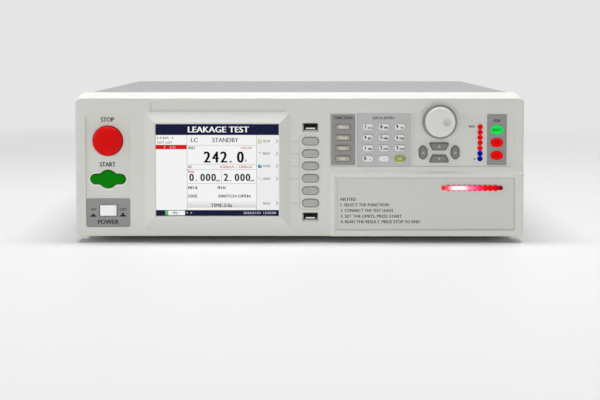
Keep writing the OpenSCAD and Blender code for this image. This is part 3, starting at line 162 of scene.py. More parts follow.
metalLook = {
    "stainSize": 25, "dull": 0.9, "bright": 1.06, "stained": 0.94, "glossLow": 0.06, "glossHigh": 0.08,
}


# bare or plated metal: a fine cloud or plating flakes, with a faint stain
def metalFinish(name, colour, rough=0.3, size=0.5, depth=0.004, flakes=False):
    made, tree, shader = newMaterial(name)
    shader.inputs["Metallic"].default_value = 1.0
    if flakes:
        cells = addNode(tree, "ShaderNodeTexVoronoi", Scale=1000 / size)
        tree.links.new(objectPoint(tree), cells.inputs["Vector"])
        height = cells.outputs["Color"]
    else:
        height = cloud(tree, objectPoint(tree), 1000 / size, 4.0)
    look = metalLook
    stain = cloud(tree, objectPoint(tree), look["stainSize"], 4.0)
    tone = blendColours(tree, height, shade(colour, look["dull"]), shade(colour, look["bright"]))
    base = blendColours(tree, stain, tone, shade(colour, look["stained"]))
    tree.links.new(base, shader.inputs["Base Color"])
    tree.links.new(scaled(tree, stain, rough - look["glossLow"], rough + look["glossHigh"]),
                   shader.inputs["Roughness"])
    reliefFrom(tree, shader, height, depth / 1000)
    return made


bandLook = {"driftSize": 300, "drift": 0.03, "driftTone": 0.5, "relief": 0.000006, "past": 1e-4}


# bands of colour along one axis of the part, changing at the given places in metres
def bandedFinish(name, axis, bands, rough=0.3, glow=0.0, soft=False, grain=0.4, specular=0.06):
    made, tree, shader = newMaterial(name)
    split = tree.nodes.new("ShaderNodeSeparateXYZ")
    tree.links.new(objectPoint(tree), split.inputs[0])
    low, high = bands[0][0], bands[-1][0] + bandLook["past"]
    ramp = tree.nodes.new("ShaderNodeValToRGB")
    ramp.color_ramp.interpolation = "LINEAR" if soft else "CONSTANT"
    tree.links.new(scaled(tree, split.outputs[axis], 0, 1, low, high), ramp.inputs["Fac"])
    stops = ramp.color_ramp.elements
    while len(stops) < len(bands):
        stops.new(0.5)
    for stop, (place, colour) in zip(stops, bands):
        stop.position = (place - low) / (high - low)
        stop.color = colour
    drift = scaled(tree, cloud(tree, objectPoint(tree), bandLook["driftSize"], 2.0), 0, bandLook["drift"])
    tone = blendColours(tree, drift, ramp.outputs["Color"], grey(bandLook["driftTone"]))
    tree.links.new(tone, shader.inputs["Base Color"])
    shader.inputs["Roughness"].default_value = rough
    shader.inputs["Specular IOR Level"].default_value = specular
    reliefFrom(tree, shader, cloud(tree, objectPoint(tree), 1000 / grain), bandLook["relief"])
    if glow:
        tree.links.new(ramp.outputs["Color"], shader.inputs["Emission Color"])
        shader.inputs["Emission Strength"].default_value = glow
    return made


tintLook = {
    "unevenSize": 1500, "uneven": 0.05, "unevenTone": 0.45, "glossSpread": 0.05, "specular": 0.1,
    "unlit": 0.02,
}


# printing and pictures: the piece's own tint, slightly uneven; a picture shines by itself
def tintFinish(name, rough=0.5, glow=0.0):
    made, tree, shader = newMaterial(name)
    tint = tree.nodes.new("ShaderNodeAttribute")
    tint.attribute_name = "tint"
    uneven = cloud(tree, objectPoint(tree), tintLook["unevenSize"])
    shader.inputs["Specular IOR Level"].default_value = tintLook["specular"]
    if glow:
        shader.inputs["Base Color"].default_value = grey(tintLook["unlit"])
        tree.links.new(tint.outputs["Color"], shader.inputs["Emission Color"])
        shader.inputs["Emission Strength"].default_value = glow
    else:
        worn = scaled(tree, uneven, 0, tintLook["uneven"])
        tone = blendColours(tree, worn, tint.outputs["Color"], grey(tintLook["unevenTone"]))
        tree.links.new(tone, shader.inputs["Base Color"])
    spread = tintLook["glossSpread"]
    tree.links.new(scaled(tree, uneven, rough - spread, rough + spread), shader.inputs["Roughness"])
    return made


# Every shape is a pair: points in mm on the panel as (x, depth, height), and faces as rows of indices.
# Here, quads between the neighbours of a grid whose columns close on themselves: point (row, column)
# has index row * columns + column
def gridFaces(rows, columns, loopRows=False):
    down = np.arange(rows if loopRows else rows - 1)[:, None]
    along = np.arange(columns)[None, :]
    nextDown, nextAlong = (down + 1) % rows, (along + 1) % columns
    corners = (down * columns + along, down * columns + nextAlong,
               nextDown * columns + nextAlong, nextDown * columns + along)
    return np.stack([c.ravel() for c in corners], 1).tolist()


# a stadium and its normals: n = (cos a, sin a), point = n * height / 2, moved sideways by
# (width - height) / 2 towards the side that n points to
def pillPath(width, height, count=32):
    angle = np.linspace(0, 2 * np.pi, count, endpoint=False) + np.pi / count
    normal = np.stack([np.cos(angle), np.sin(angle)], 1)
    middle = np.stack([np.sign(normal[:, 0]) * (width - height) / 2, np.zeros(count)], 1)
    return middle + normal * height / 2, normal


# a rectangle with quarter circles at its corners: point = corner's centre + radius * (cos a, sin a)
def roundedPath(width, height, radius, steps=6):
    turn = np.linspace(0, np.pi / 2, steps + 1)
    angle = np.concatenate([turn + k * np.pi / 2 for k in range(4)])
    side = np.repeat(np.array([[1, 1], [-1, 1], [-1, -1], [1, -1]]), steps + 1, 0)
    normal = np.stack([np.cos(angle), np.sin(angle)], 1)
    return side * (np.array([width, height]) / 2 - radius) + normal * radius, normal


def ellipsePath(width, height, count):  # point = (cos a * width / 2, sin a * height / 2)
    angle = np.linspace(0, 2 * np.pi, count, endpoint=False)
    return np.stack([np.cos(angle) * width / 2, np.sin(angle) * height / 2], 1)


# a flat outline given thickness: the same loop at two depths, joined by sides and closed by two faces
def slab(outline, depth, x=0.0, z=0.0):
    ring = np.asarray(outline, float) + np.array([x, z])
    count = len(ring)
    points = np.concatenate([np.stack([ring[:, 0], np.full(count, at), ring[:, 1]], 1)
                             for at in (depth - ink["proud"], depth + ink["sunk"])])
    faces = [[i + count, (i + 1) % count + count, (i + 1) % count, i] for i in range(count)]
    return points, [list(range(count)), list(range(2 * count - 1, count - 1, -1)), *faces]


# a profile of (outward, depth) pairs carried round a closed path: point = path + normal * outward
def collar(path, normal, profile, x=0.0, z=0.0):
    profile = np.asarray(profile, float)
    flat = path[:, None, :] + normal[:, None, :] * profile[None, :, :1]
    depth = np.broadcast_to(profile[None, :, 1], flat.shape[:2])
    points = np.stack([flat[..., 0] + x, depth, flat[..., 1] + z], -1).reshape(-1, 3)
    return points, gridFaces(len(path), len(profile), True)


letterCache = {}


def letters(words):  # the words' slab, one unit deep
    if words not in letterCache:
        curve = bpy.data.curves.new("letters", "FONT")
        curve.body, curve.size, curve.extrude, curve.resolution_u = words, 1.0, 0.5, 3
        holder = bpy.data.objects.new("letters", curve)
        mesh = bpy.data.meshes.new_from_object(holder)
        points = np.empty(len(mesh.vertices) * 3)
        mesh.vertices.foreach_get("co", points)
        faces = [list(p.vertices) for p in mesh.polygons]
        bpy.data.objects.remove(holder)
        bpy.data.curves.remove(curve)
        bpy.data.meshes.remove(mesh)
        letterCache[words] = points.reshape(-1, 3), faces
    return letterCache[words]


capitalHeight = np.ptp(letters("H")[0][:, 1])


threeCopiesFrom = 0.09  # the weight from which a bold word gets a third copy between its outer ones


# words set at (x, z), which is the middle of their capitals, or their left or right end; a bold word
# is set two or three times, the outer copies weight times the height apart
def wordSlab(words, height, depth, x, z, width=None, side="middle", weight=0.0):
    points, faces = letters(words)
    flat = points[:, :2] / capitalHeight * height
    low, high = flat[:, 0].min(), flat[:, 0].max()
    if width:
        flat[:, 0] *= (width - weight * height) / (high - low)
        low, high = flat[:, 0].min(), flat[:, 0].max()
    start = {"middle": (low + high) / 2, "left": low, "right": high}[side]
    front = np.where(points[:, 2] > 0, -ink["proud"], ink["sunk"])
    placed = np.stack([flat[:, 0] - start + x, front + depth, flat[:, 1] - height / 2 + z], 1)
    if not weight:
        return placed, faces
    step = np.array([weight * height / 2, ink["proud"] / 10, 0.0])
    count, copies = len(placed), (-1, 0, 1) if weight > threeCopiesFrom else (-1, 1)
    return (np.concatenate([placed + step * copy for copy in copies]),
            [[i + count * copy for i in face] for copy in range(len(copies)) for face in faces])


weldDistance = 1e-7  # metres


# joins parts into one object in the frame; each part is (points, faces) or (points, faces, tint)
def buildPiece(name, parts, body, material, smooth=False):
    points = np.concatenate([p[0] for p in parts])
    starts = np.cumsum([0] + [len(p[0]) for p in parts])
    faces = [[i + start for i in face] for part, start in zip(parts, starts) for face in part[1]]
    mesh = bpy.data.meshes.new(name)
    placed = points / 1000 + np.array([0.0, panel["face"], panel["base"]])
    mesh.from_pydata(placed, [], faces)
    if len(parts[0]) > 2:
        tint = mesh.attributes.new("tint", "FLOAT_COLOR", "POINT")
        colours = np.concatenate([np.broadcast_to(np.array(p[2], float), (len(p[0]), 4)) for p in parts])
        tint.data.foreach_set("color", colours.ravel())
    mesh.polygons.foreach_set("use_smooth", np.full(len(mesh.polygons), smooth))
    mesh.materials.append(material)
    piece = bpy.data.objects.new(name, mesh)
    scene.collection.objects.link(piece)
    tidy = bmesh.new()
    tidy.from_mesh(mesh)
    if smooth:
        bmesh.ops.remove_doubles(tidy, verts=tidy.verts, dist=weldDistance)
    bmesh.ops.recalc_face_normals(tidy, faces=tidy.faces)
    tidy.to_mesh(mesh)
    tidy.free()
    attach(piece, body)


camera = {
    "lens": 72.012, "sensor": 36.0, "place": (0.0, -1.3766, 0.1964), "pitch": 3.452,
    "shift": (0.0008, -0.14), "near": 0.05, "far": 20,
}


def buildCamera():
    data = bpy.data.cameras.new("camera")
    data.lens, data.sensor_width = camera["lens"], camera["sensor"]
    data.shift_x, data.shift_y = camera["shift"]
    data.clip_start, data.clip_end = camera["near"], camera["far"]
    holder = bpy.data.objects.new("camera", data)
    holder.location = camera["place"]
    holder.rotation_euler = (math.radians(90 - camera["pitch"]), 0, 0)
    scene.collection.objects.link(holder)
    scene.camera = holder
    print("camera in place")


studio = {
    "lamps": {  # name: place, aim, width, height, watts, seen in gloss
        "keyLamp": ((-2.3, -0.8, 0.8), (0, -0.15, 0.05), 1.2, 1.0, 11.5, True),
        "fillLamp": ((1.7, -1.3, 1.3), (0, -0.15, 0.05), 0.9, 0.8, 1, True),
        "lowLamp": ((-0.3, -2.3, 0.35), (0, -0.15, 0.08), 1.6, 0.5, 12.8, False),
        "topLamp": ((0.0, -0.1, 1.9), (0, -0.19, 0.14), 1.7, 0.5, 39, True),
        "rearLamp": ((1.2, 2.0, 0.8), (0, 0.2, 0.07), 1.4, 0.8, 9, False),
    },
    "worldTone": 0.97, "worldLight": 0.2, "backdrop": 0.9,
    "floorReach": 6.0, "floorTone": 0.86, "floorDrift": 0.01, "floorCloud": 3.0, "floorRough": 0.55,
    "fade": (0.6, 1.6),  # metres from the part between which the floor turns into the backdrop
}


def showsBackdrop(tree):  # 1 for camera, glossy and transmission rays, which see the pale backdrop
    path = tree.nodes.new("ShaderNodeLightPath")
    seen = path.outputs["Is Camera Ray"]
    for ray in ("Is Glossy Ray", "Is Transmission Ray"):
        either = tree.nodes.new("ShaderNodeMath")
        either.operation = "MAXIMUM"
        tree.links.new(seen, either.inputs[0])
        tree.links.new(path.outputs[ray], either.inputs[1])
        seen = either.outputs[0]
    return seen


def mixShaders(tree, factor, first, second):
    mix = tree.nodes.new("ShaderNodeMixShader")
    for socket, source in enumerate((factor, first, second)):
        tree.links.new(source, mix.inputs[socket])
    return mix.outputs[0]


def buildLamps():
    for name, (place, aim, width, height, watts, glossy) in studio["lamps"].items():
        data = bpy.data.lights.new(name, "AREA")
        data.shape, data.size, data.size_y, data.energy = "RECTANGLE", width, height, watts
        lamp = bpy.data.objects.new(name, data)
        lamp.location, lamp.visible_glossy, lamp.visible_camera = place, glossy, False
        lamp.rotation_euler = (Vector(aim) - Vector(place)).to_track_quat("-Z", "Y").to_euler()
        scene.collection.objects.link(lamp)


def buildWorld():
    world = bpy.data.worlds.new("studio")
    world.use_nodes = True
    tree = world.node_tree
    soft = tree.nodes["Background"]
    soft.inputs["Color"].default_value = grey(studio["worldTone"])
    soft.inputs["Strength"].default_value = studio["worldLight"]
    backdrop = addNode(tree, "ShaderNodeBackground", Color=grey(studio["backdrop"]), Strength=1.0)
    shown = mixShaders(tree, showsBackdrop(tree), soft.outputs[0], backdrop.outputs[0])
    tree.links.new(shown, tree.nodes["World Output"].inputs["Surface"])
    scene.world = world


def buildFloor():
    mesh = bpy.data.meshes.new("floor")
    reach = studio["floorReach"]
    mesh.from_pydata([(-reach, -reach, 0), (reach, -reach, 0), (reach, reach, 0), (-reach, reach, 0)], [],
                     [(0, 1, 2, 3)])
    made, tree, shader = newMaterial("floorPaper")
    slow, tone = cloud(tree, objectPoint(tree), studio["floorCloud"]), studio["floorTone"]
    tree.links.new(blendColours(tree, slow, grey(tone), grey(tone + studio["floorDrift"])),
                   shader.inputs["Base Color"])
    shader.inputs["Roughness"].default_value = studio["floorRough"]
    away = tree.nodes.new("ShaderNodeVectorMath")
    away.operation = "LENGTH"
    tree.links.new(objectPoint(tree), away.inputs[0])
    far = tree.nodes.new("ShaderNodeMath")
    far.operation = "MULTIPLY"
    tree.links.new(scaled(tree, away.outputs["Value"], 0, 1, *studio["fade"]), far.inputs[0])
    tree.links.new(showsBackdrop(tree), far.inputs[1])
    backdrop = addNode(tree, "ShaderNodeEmission", Color=grey(studio["backdrop"]), Strength=1.0)
    shown = mixShaders(tree, far.outputs[0], shader.outputs[0], backdrop.outputs[0])
    tree.links.new(shown, tree.nodes["Material Output"].inputs["Surface"])
    mesh.materials.append(made)
    floor = bpy.data.objects.new("floor", mesh)
    scene.collection.objects.link(floor)


def upAt(height):  # height on the panel in mm to metres in the frame
    return height / 1000 + panel["base"]


# lower colour, height in mm on the panel where the upper one starts, upper colour, roughness, glow
lenses = {
    "status": (linear(0.92, 0.02, 0.02), 99, linear(0.05, 0.93, 0.33), 0.3, 0.14),
    "level": (linear(0.0, 0.0, 0.62), 84.6, linear(0.92, 0.0, 0.03), 0.25, 0.07),
}


def lensFinish(name, lower, change, upper, rough, glow):
    bands = [(0.0, lower), (upAt(change), upper), (0.2, upper)]
    return bandedFinish(name, 2, bands, rough, glow, specular=0.03)


danger = {
    # half the row's length, and how far off its axis the edge colour starts and is full
    "reach": 28.2, "core": 1.3, "rim": 2.8, "glow": 0.42,
    "edge": linear(0.74, 0.03, 0.08),
    "stops": [  # place along the row, from -1 at its left end to 1 at its right, and colour
        (-1.0, linear(0.86, 0.12, 0.16)), (-0.84, linear(0.95, 0.42, 0.45)),
        (-0.66, linear(0.99, 0.9, 0.93)), (-0.3, linear(0.99, 0.9, 0.95)),
        (-0.1, linear(0.98, 0.5, 0.66)), (0.2, linear(0.95, 0.2, 0.42)),
        (0.45, linear(0.86, 0.04, 0.1)), (0.8, linear(0.8, 0.0, 0.03)), (0.96, linear(0.5, 0.0, 0.05)),
    ],
}


def dangerFinish(name):  # colour runs along the row and turns to the edge colour above and below it
    x, _, z = frontOf("danger_lamp")
    bands = [((x + place * danger["reach"]) / 1000, colour) for place, colour in danger["stops"]]
    made = bandedFinish(name, 0, bands, 0.3, danger["glow"], soft=True)
    tree, shader = made.node_tree, made.node_tree.nodes["Principled BSDF"]
    along = shader.inputs["Emission Color"].links[0].from_socket
    split = tree.nodes.new("ShaderNodeSeparateXYZ")
    tree.links.new(objectPoint(tree, shift=(0, 0, -upAt(z))), split.inputs[0])
    off = tree.nodes.new("ShaderNodeMath")
    off.operation = "ABSOLUTE"
    tree.links.new(split.outputs[2], off.inputs[0])
    across = scaled(tree, off.outputs[0], 0, 1, danger["core"] / 1000, danger["rim"] / 1000)
    tone = blendColours(tree, across, along, danger["edge"])
    for socket in ("Base Color", "Emission Color"):
        tree.links.new(tone, shader.inputs[socket])
    return made


knob = {
    "edge": 15.0, "edgeBlur": 0.9,
    "dimple": (6.8, 4.3), "dimpleBlur": 0.5,  # its middle's distance from the knob's, and its radius
    "face": linear(0.87, 0.87, 0.85), "skirt": linear(0.56, 0.56, 0.545),
    "dimpleShade": linear(0.79, 0.79, 0.77),
}


def distanceFrom(tree, x, z):  # metres from a line that runs straight back through (x, z) on the panel
    away = tree.nodes.new("ShaderNodeVectorMath")
    away.operation = "LENGTH"
    tree.links.new(objectPoint(tree, (1, 0, 1), (-x / 1000, 0, -upAt(z))), away.inputs[0])
    return away.outputs["Value"]


def knobFinish(name):  # pale face; painted shade: a darker skirt beyond the face's edge, and a greyer dimple
    made = grainFinish(name, knob["face"], 0.34, 0.3, 0.004, 0.01, coat=0.15)
    tree, shader = made.node_tree, made.node_tree.nodes["Principled BSDF"]
    x, _, z = frontOf("jog_knob")
    ring = scaled(tree, distanceFrom(tree, x, z), 0, 1,
                  (knob["edge"] - knob["edgeBlur"]) / 1000, knob["edge"] / 1000)
    pale = shader.inputs["Base Color"].links[0].from_socket
    # the skirt's darker tone and the dimple's greyer one are painted shade
    toned = blendColours(tree, ring, pale, knob["skirt"])
    off, reach = knob["dimple"]
    inside = scaled(tree, distanceFrom(tree, x + off, z), 1, 0,
                    (reach - knob["dimpleBlur"]) / 1000, reach / 1000)
    tree.links.new(blendColours(tree, inside, toned, knob["dimpleShade"]), shader.inputs["Base Color"])
    return made


testSockets = [  # from which x in metres, colour
    (0.0, linear(0.07, 0.4, 0.12)), (0.1225, grey(0.06)), (0.1475, linear(0.7, 0.05, 0.04)),
    (0.1725, grey(0.06)), (0.3, grey(0.06)),
]


# each grainFinish: name, colour, roughness, size and depth of the grain in mm, drift of the colour
def cadFinishes():
    bezel = linear(0.845, 0.848, 0.825)
    cover = linear(0.59, 0.595, 0.6)
    board = linear(0.05, 0.33, 0.16)
    return {
        "bezel_plastic": grainFinish("bezelPlastic", bezel, 0.5, 0.5, 0.01, 0.012, specular=0.25, edge=0.7),
        "cover_paint": grainFinish("coverPaint", cover, 0.5, 0.9, 0.02, 0.02, specular=0.15),
        "plated_steel": metalFinish("zincPlate", linear(0.78, 0.79, 0.8), 0.38, size=2.2, depth=0.01,
                                    flakes=True),
        "note_plate": grainFinish("notePlate", linear(0.815, 0.818, 0.8), 0.5, 0.3, 0.004, 0.008,
                                  specular=0.35),
        "dark_film": grainFinish("darkFilm", linear(0.575, 0.565, 0.565), 0.5, 0.25, 0.004, 0.01),
        "grey_film": grainFinish("greyFilm", linear(0.745, 0.745, 0.75), 0.5, 0.25, 0.004, 0.01),
        "module_metal": metalFinish("moduleFrame", linear(0.6, 0.62, 0.64), 0.35),
        "status_lens": lensFinish("statusLens", *lenses["status"]),
        "level_lens": lensFinish("levelLens", *lenses["level"]),
        "danger_lens": dangerFinish("dangerLens"),
        "board_green": bandedFinish("circuitBoard", 2, [(0.0, board), (1.0, board)], 0.35, grain=3),
        "socket_black": grainFinish("blackPlastic", linear(0.09, 0.09, 0.1), 0.45, 0.3, 0.006, 0.08),
        "foot_rubber": grainFinish("footRubber", linear(0.07, 0.07, 0.07), 0.8, 0.5, 0.02, 0.1),
        "winding": grainFinish("windingTape", linear(0.78, 0.62, 0.16), 0.3, 2.0, 0.1, 0.06, 0.4,
                               streak=(0.3, 0.3, 1)),
        "bright_steel": metalFinish("brightSteel", linear(0.83, 0.83, 0.85), 0.16, size=0.3),
        "socket_red": bandedFinish("socketPlastic", 0, testSockets, 0.25),
        "stop_red": grainFinish("stopCap", linear(0.85, 0.0, 0.0), 0.4, 0.6, 0.001, 0.02, 0.15, 0.06),
        "start_green": grainFinish("startCap", linear(0.0, 0.5, 0.0), 0.42, 0.3, 0.004, 0.03, 0.05, 0.06),
        "power_white": grainFinish("powerCap", linear(0.985, 0.985, 0.98), 0.35, 0.3, 0.003, 0.01, 0.2),
        "knob_plastic": knobFinish("knobPlastic"),
        "soft_key": grainFinish("softKey", linear(0.69, 0.685, 0.67), 0.5, 0.3, 0.005, 0.012, specular=0.3),
        "function_key": grainFinish("functionKey", linear(0.67, 0.655, 0.6), 0.45, 0.3, 0.005, 0.015),
        "number_key": grainFinish("numberKey", linear(0.905, 0.905, 0.9), 0.4, 0.3, 0.004, 0.01,
                                  specular=0.3),
        # the shift key is given a faint painted glow
        "shift_key": grainFinish("shiftKey", linear(0.67, 0.7, 0.4), 0.4, 0.3, 0.004, 0.02, glow=0.05),
        "arrow_key": grainFinish("arrowKey", linear(0.4, 0.4, 0.39), 0.42, 0.3, 0.005, 0.02),
    }


glass = {"tone": 0.1, "alpha": 0.06, "rough": (0.04, 0.1), "smearSize": 30}


def windowGlass():  # a thin clear sheet: mostly see-through, with its own gloss
    made, tree, shader = newMaterial("windowGlass")
    shader.inputs["Base Color"].default_value = grey(glass["tone"])
    smear = cloud(tree, objectPoint(tree), glass["smearSize"], 3.0)
    tree.links.new(scaled(tree, smear, *glass["rough"]), shader.inputs["Roughness"])
    shader.inputs["Alpha"].default_value = glass["alpha"]
    return made


def finishNodes():
    finishes = cadFinishes()
    finishes["screen_glass"] = windowGlass()
    for row in frame["record"]["subparts"]:
        mesh = frame["nodes"][row["node"]].data
        mesh.materials.clear()
        mesh.materials.append(finishes[row["material_slot"]])
    print("finishes on", len(frame["nodes"]), "nodes")
    return finishes


darkInk, paleInk = linear(0.13, 0.13, 0.12), linear(0.93, 0.93, 0.9)
legend = {
    "powerFilm": 0.8,  # depth of the power button's plate
    "icons": ((-203.8, 20.4, 0.5), (-174.6, 20.6, 1.3)),  # x, z, how far the button stands out
    "iconBar": [(3.4, -1.4), (3.4, -0.7), (2.3, 0.1), (1.2, 0.1)], "iconButton": [(1.2, 0.5), (0.7, 1.0)],
    "words": [  # words, capitals' height, depth, x, z, width, side, weight
        ("STOP", 4.4, 1.2, -189.0, 115.3, 13.2, "middle", 0.1),
        ("START", 4.4, 1.2, -189.2, 71.0, 15.8, "middle", 0.1),
        ("POWER", 4.3, 0.8, -189.0, 14.0, 20.6, "middle", 0.08),
        ("ON", 2.6, 0.8, -203.6, 26.4, 5.2, "middle", 0.05),
        ("OFF", 2.6, 0.8, -174.4, 26.4, 6.6, "middle", 0.05),
        ("FUNCTION", 2.6, 0.6, 43.2, 116.9, 17.6, "middle", 0.09),
        ("DATA ENTRY", 2.6, 0.6, 83.0, 116.9, 21.8, "middle", 0.08),
        ("MAX", 2.1, 1.0, 169.8, 108.4, 5.9, "middle", 0.1),
        ("0", 2.1, 1.0, 172.6, 76.3, 1.5, "middle", 0.08),
        ("RUN", 2.8, 0.6, 194.3, 114.4, 6.2, "middle", 0.06),
        ("NOTES", 3.0, -1.0, 40.6, 36.6, 15.0, "left", 0.08),
        ("1. SELECT THE FUNCTION", 2.9, -1.0, 40.6, 31.1, 47.5, "left", 0.07),
        ("2. CONNECT THE TEST LEADS", 2.9, -1.0, 40.6, 25.5, 52.0, "left", 0.07),
        ("3. SET THE LIMITS, PRESS START", 2.9, -1.0, 40.6, 19.8, 60.5, "left", 0.07),
        ("4. READ THE RESULT, PRESS STOP TO END", 2.9, -1.0, 40.6, 14.3, 78.5, "left", 0.07),
    ],
}


def switchIcon(x, z, out):  # a bar with a push button above it: low for ON, high for OFF
    half = np.concatenate([legend["iconBar"], np.array(legend["iconButton"]) + (0, out)])
    outline = np.concatenate([half, half[::-1] * np.array([-1, 1])])
    return slab(outline, legend["powerFilm"], x, z)


def printFront(inkFinish):
    parts = [wordSlab(*row) for row in legend["words"]]
    parts += [switchIcon(*row) for row in legend["icons"]]
    buildPiece("frontPrinting", [(*p, darkInk) for p in parts], "chassis", inkFinish)
    print("front printed")


# The printing on each key is a piece of its own, which moves with that key
keypad = {
    "cap": (10.8, 6.2, 0.9), "capSteps": 48,  # width, height, radius of its edge; points round it
    "signs": (("7", "STU"), ("8", "VWX"), ("9", "YZ"), ("4", "JKL"), ("5", "MNO"), ("6", "PQR"),
              ("1", "ABC"), ("2", "DEF"), ("3", "GHI"), ("0", "+/-")),
    "numeral": (3.3, -2.7, 0.4), "letter": (1.9, 2.0, -0.75),  # height, offset from the key's middle
    "numeralWide": 2.1, "numeralWeight": 0.13, "narrow": "1",  # this one is kept at its own width
    "groupUsual": 4.7, "groupWide": {"YZ": 3.3, "+/-": 2.2}, "letterWeight": 0.14, "greyGroup": "+/-",
    "printDip": 0.03, "point": 0.9, "blackInk": grey(0.08), "greyInk": grey(0.6), "gapShadeGrey": grey(0.72),
    "functions": (("Menu", 8.4), ("Setup", 7.6), ("Enter", 6.4), ("Exit", 4.6)),  # words, widths
    "functionHeight": 2.4, "functionWeight": 0.05,
    "sleeve": [(0.1, 0.8), (0.1, 0.45), (0.34, 0.45), (0.34, 0.8)],
    "shiftInlay": (8.4, 4.0), "inlayTone": linear(0.52, 0.53, 0.3), "glowRingTone": linear(0.77, 0.81, 0.55),
    "shiftWord": ("Shift", 2.3, 5.2, 0.06),
    "shiftGlowRing": [(0.5, 0.56), (1.3, 0.56), (1.3, 0.65), (0.5, 0.65)],
}
cross = {
    "rise": 0.3, "padSteps": [(1, 0.05), (1, -0.12), (0.94, -0.3)],  # size and depth of a pad's rings
    "padHighlightTone": linear(0.52, 0.52, 0.51), "signTone": linear(0.78, 0.78, 0.76),
    "flatPad": [(-5.5, -2.6), (5.5, -2.6), (8.2, 1.6), (7.5, 2.6), (-7.5, 2.6), (-8.2, 1.6)],
    "tallPad": [(-3.0, -3.1), (-0.75, -5.4), (0.6, -5.4), (3.0, -2.5), (3.0, 2.5), (0.6, 5.4), (-0.75, 5.4),
                (-3.0, 3.1)],
    "tip": [(0.0, 1.25), (-1.2, -0.85), (1.2, -0.85)],
    "turns": {"up": (0, 1), "down": (0, -1), "left": (-1, 0), "right": (1, 0)},
}
lamps = {
    "pitch": 12.65, "height": 2.5, "weight": 0.08,
    "words": (("READY", 9.2, linear(0.03, 0.5, 0.12)), ("TEST", 6.6, linear(0.55, 0.0, 0.0)),
              ("FAIL", 6.2, linear(0.6, 0.0, 0.0))),
}


# lets printing follow a pill-shaped cap: at d past the flat middle, the face lies back by
# r - sqrt(r^2 - d^2)
def onCap(points, x, z):
    width, height, radius = keypad["cap"]
    past = np.maximum(np.abs(points[:, 0] - x) - (width - height) / 2, 0)
    past = np.clip(np.hypot(past, points[:, 2] - z) - (height / 2 - radius), 0, radius)
    points[:, 1] += radius - np.sqrt(radius**2 - past**2) - keypad["printDip"]
    return points


# an outline carried forward, its last ring drawn in for a bevel: point = outline * size, at depth + step
def pad(shape, x, depth, z):
    points = np.concatenate([np.stack([shape[:, 0] * size + x, np.full(len(shape), depth + step),
                                       shape[:, 1] * size + z], 1) for size, step in cross["padSteps"]])
    count = len(shape)
    return points, [*gridFaces(3, count), list(range(count)), list(range(3 * count - 1, 2 * count - 1, -1))]


def printNumberKeys(inkFinish):
    blackInk, greyInk = keypad["blackInk"], keypad["greyInk"]
    height, dx, dz = keypad["numeral"]
    small, sx, sz = keypad["letter"]
    for sign, group in keypad["signs"]:
        x, depth, z = frontOf(f"key_{sign}")
        wide = None if sign == keypad["narrow"] else keypad["numeralWide"]
        groupWide = keypad["groupWide"].get(group, keypad["groupUsual"])
        points, faces = wordSlab(sign, height, depth, x + dx, z + dz, wide, "middle", keypad["numeralWeight"])
        parts = [(onCap(points, x, z), faces, blackInk)]
        points, faces = wordSlab(group, small, depth, x + sx, z + sz, groupWide, "middle",
                                 keypad["letterWeight"])
        parts.append((onCap(points, x, z), faces, greyInk if group == keypad["greyGroup"] else blackInk))
        buildPiece(f"sign{sign}", parts, f"key_{sign}", inkFinish)
    x, depth, z = frontOf("key_point")
    dot = slab(ellipsePath(keypad["point"], keypad["point"], 16), depth, x, z)
    buildPiece("signPoint", [(*dot, greyInk)], "key_point", inkFinish)


def printShiftKey(inkFinish):
    x, depth, z = frontOf("key_shift")
    inlay = slab(pillPath(*keypad["shiftInlay"])[0], depth, x, z)
    words, height, wide, weight = keypad["shiftWord"]
    word = wordSlab(words, height, depth - ink["proud"], x, z, wide, "middle", weight)
    parts = [(*inlay, keypad["inlayTone"]), (*word, paleInk)]
    buildPiece("signShift", parts, "key_shift", inkFinish)
    # a yellow-green ring round the shift key: a painted glow, the halo of the key's light
    ring = collar(*pillPath(*keypad["cap"][:2], keypad["capSteps"]), keypad["shiftGlowRing"], x, z)
    buildPiece("shiftGlowRing", [(*ring, keypad["glowRingTone"])], "chassis", inkFinish)


# grey sleeves fill the gaps round the number keys and the shift key: their tone is a painted soft shade in
# each gap
def buildSleeves(inkFinish):
    cap = pillPath(*keypad["cap"][:2], keypad["capSteps"])
    keys = [*(sign for sign, _ in keypad["signs"]), "point", "shift"]
    parts = [(*collar(*cap, keypad["sleeve"], x, z), keypad["gapShadeGrey"])
             for x, _, z in (frontOf(f"key_{key}") for key in keys)]
    buildPiece("keySleeves", parts, "chassis", inkFinish)


def printFunctionKeys(inkFinish):
    for index, (word, wide) in enumerate(keypad["functions"], 1):
        body = f"function_key_{index}"
        x, depth, z = frontOf(body)
        label = wordSlab(word, keypad["functionHeight"], depth, x, z, wide, "middle",
                         keypad["functionWeight"])
        buildPiece(f"label{word}", [(*label, paleInk)], body, inkFinish)


def printArrows(inkFinish):  # a bevelled pad on each arrow key, lighter than the key as a painted highlight, with a triangle on it
    for name, (alongX, alongZ) in cross["turns"].items():
        x, depth, z = frontOf(f"arrow_{name}")
        outline = np.array(cross["tip"]) @ np.array([[alongZ, -alongX], [alongX, alongZ]])
        symbol = slab(outline, depth - cross["rise"], x, z)
        shape = np.array(cross["tallPad"] if alongX else cross["flatPad"])
        shape = shape * ((-alongX, 1) if alongX else (1, alongZ))
        parts = [(*pad(shape, x, depth, z), cross["padHighlightTone"]), (*symbol, cross["signTone"])]
        buildPiece(f"arrow{name.capitalize()}", parts, f"arrow_{name}", inkFinish)


def printLamps(inkFinish):
    x, depth, middle = frontOf("status_lamps")
    parts = []
    for row, (word, wide, colour) in zip((1, 0, -1), lamps["words"]):
        z = middle + row * lamps["pitch"]
        label = wordSlab(word, lamps["height"], depth, x, z, wide, "middle", lamps["weight"])
        parts.append((*label, colour))
    buildPiece("lampWords", parts, "chassis", inkFinish)
    print("keys and lamps printed")


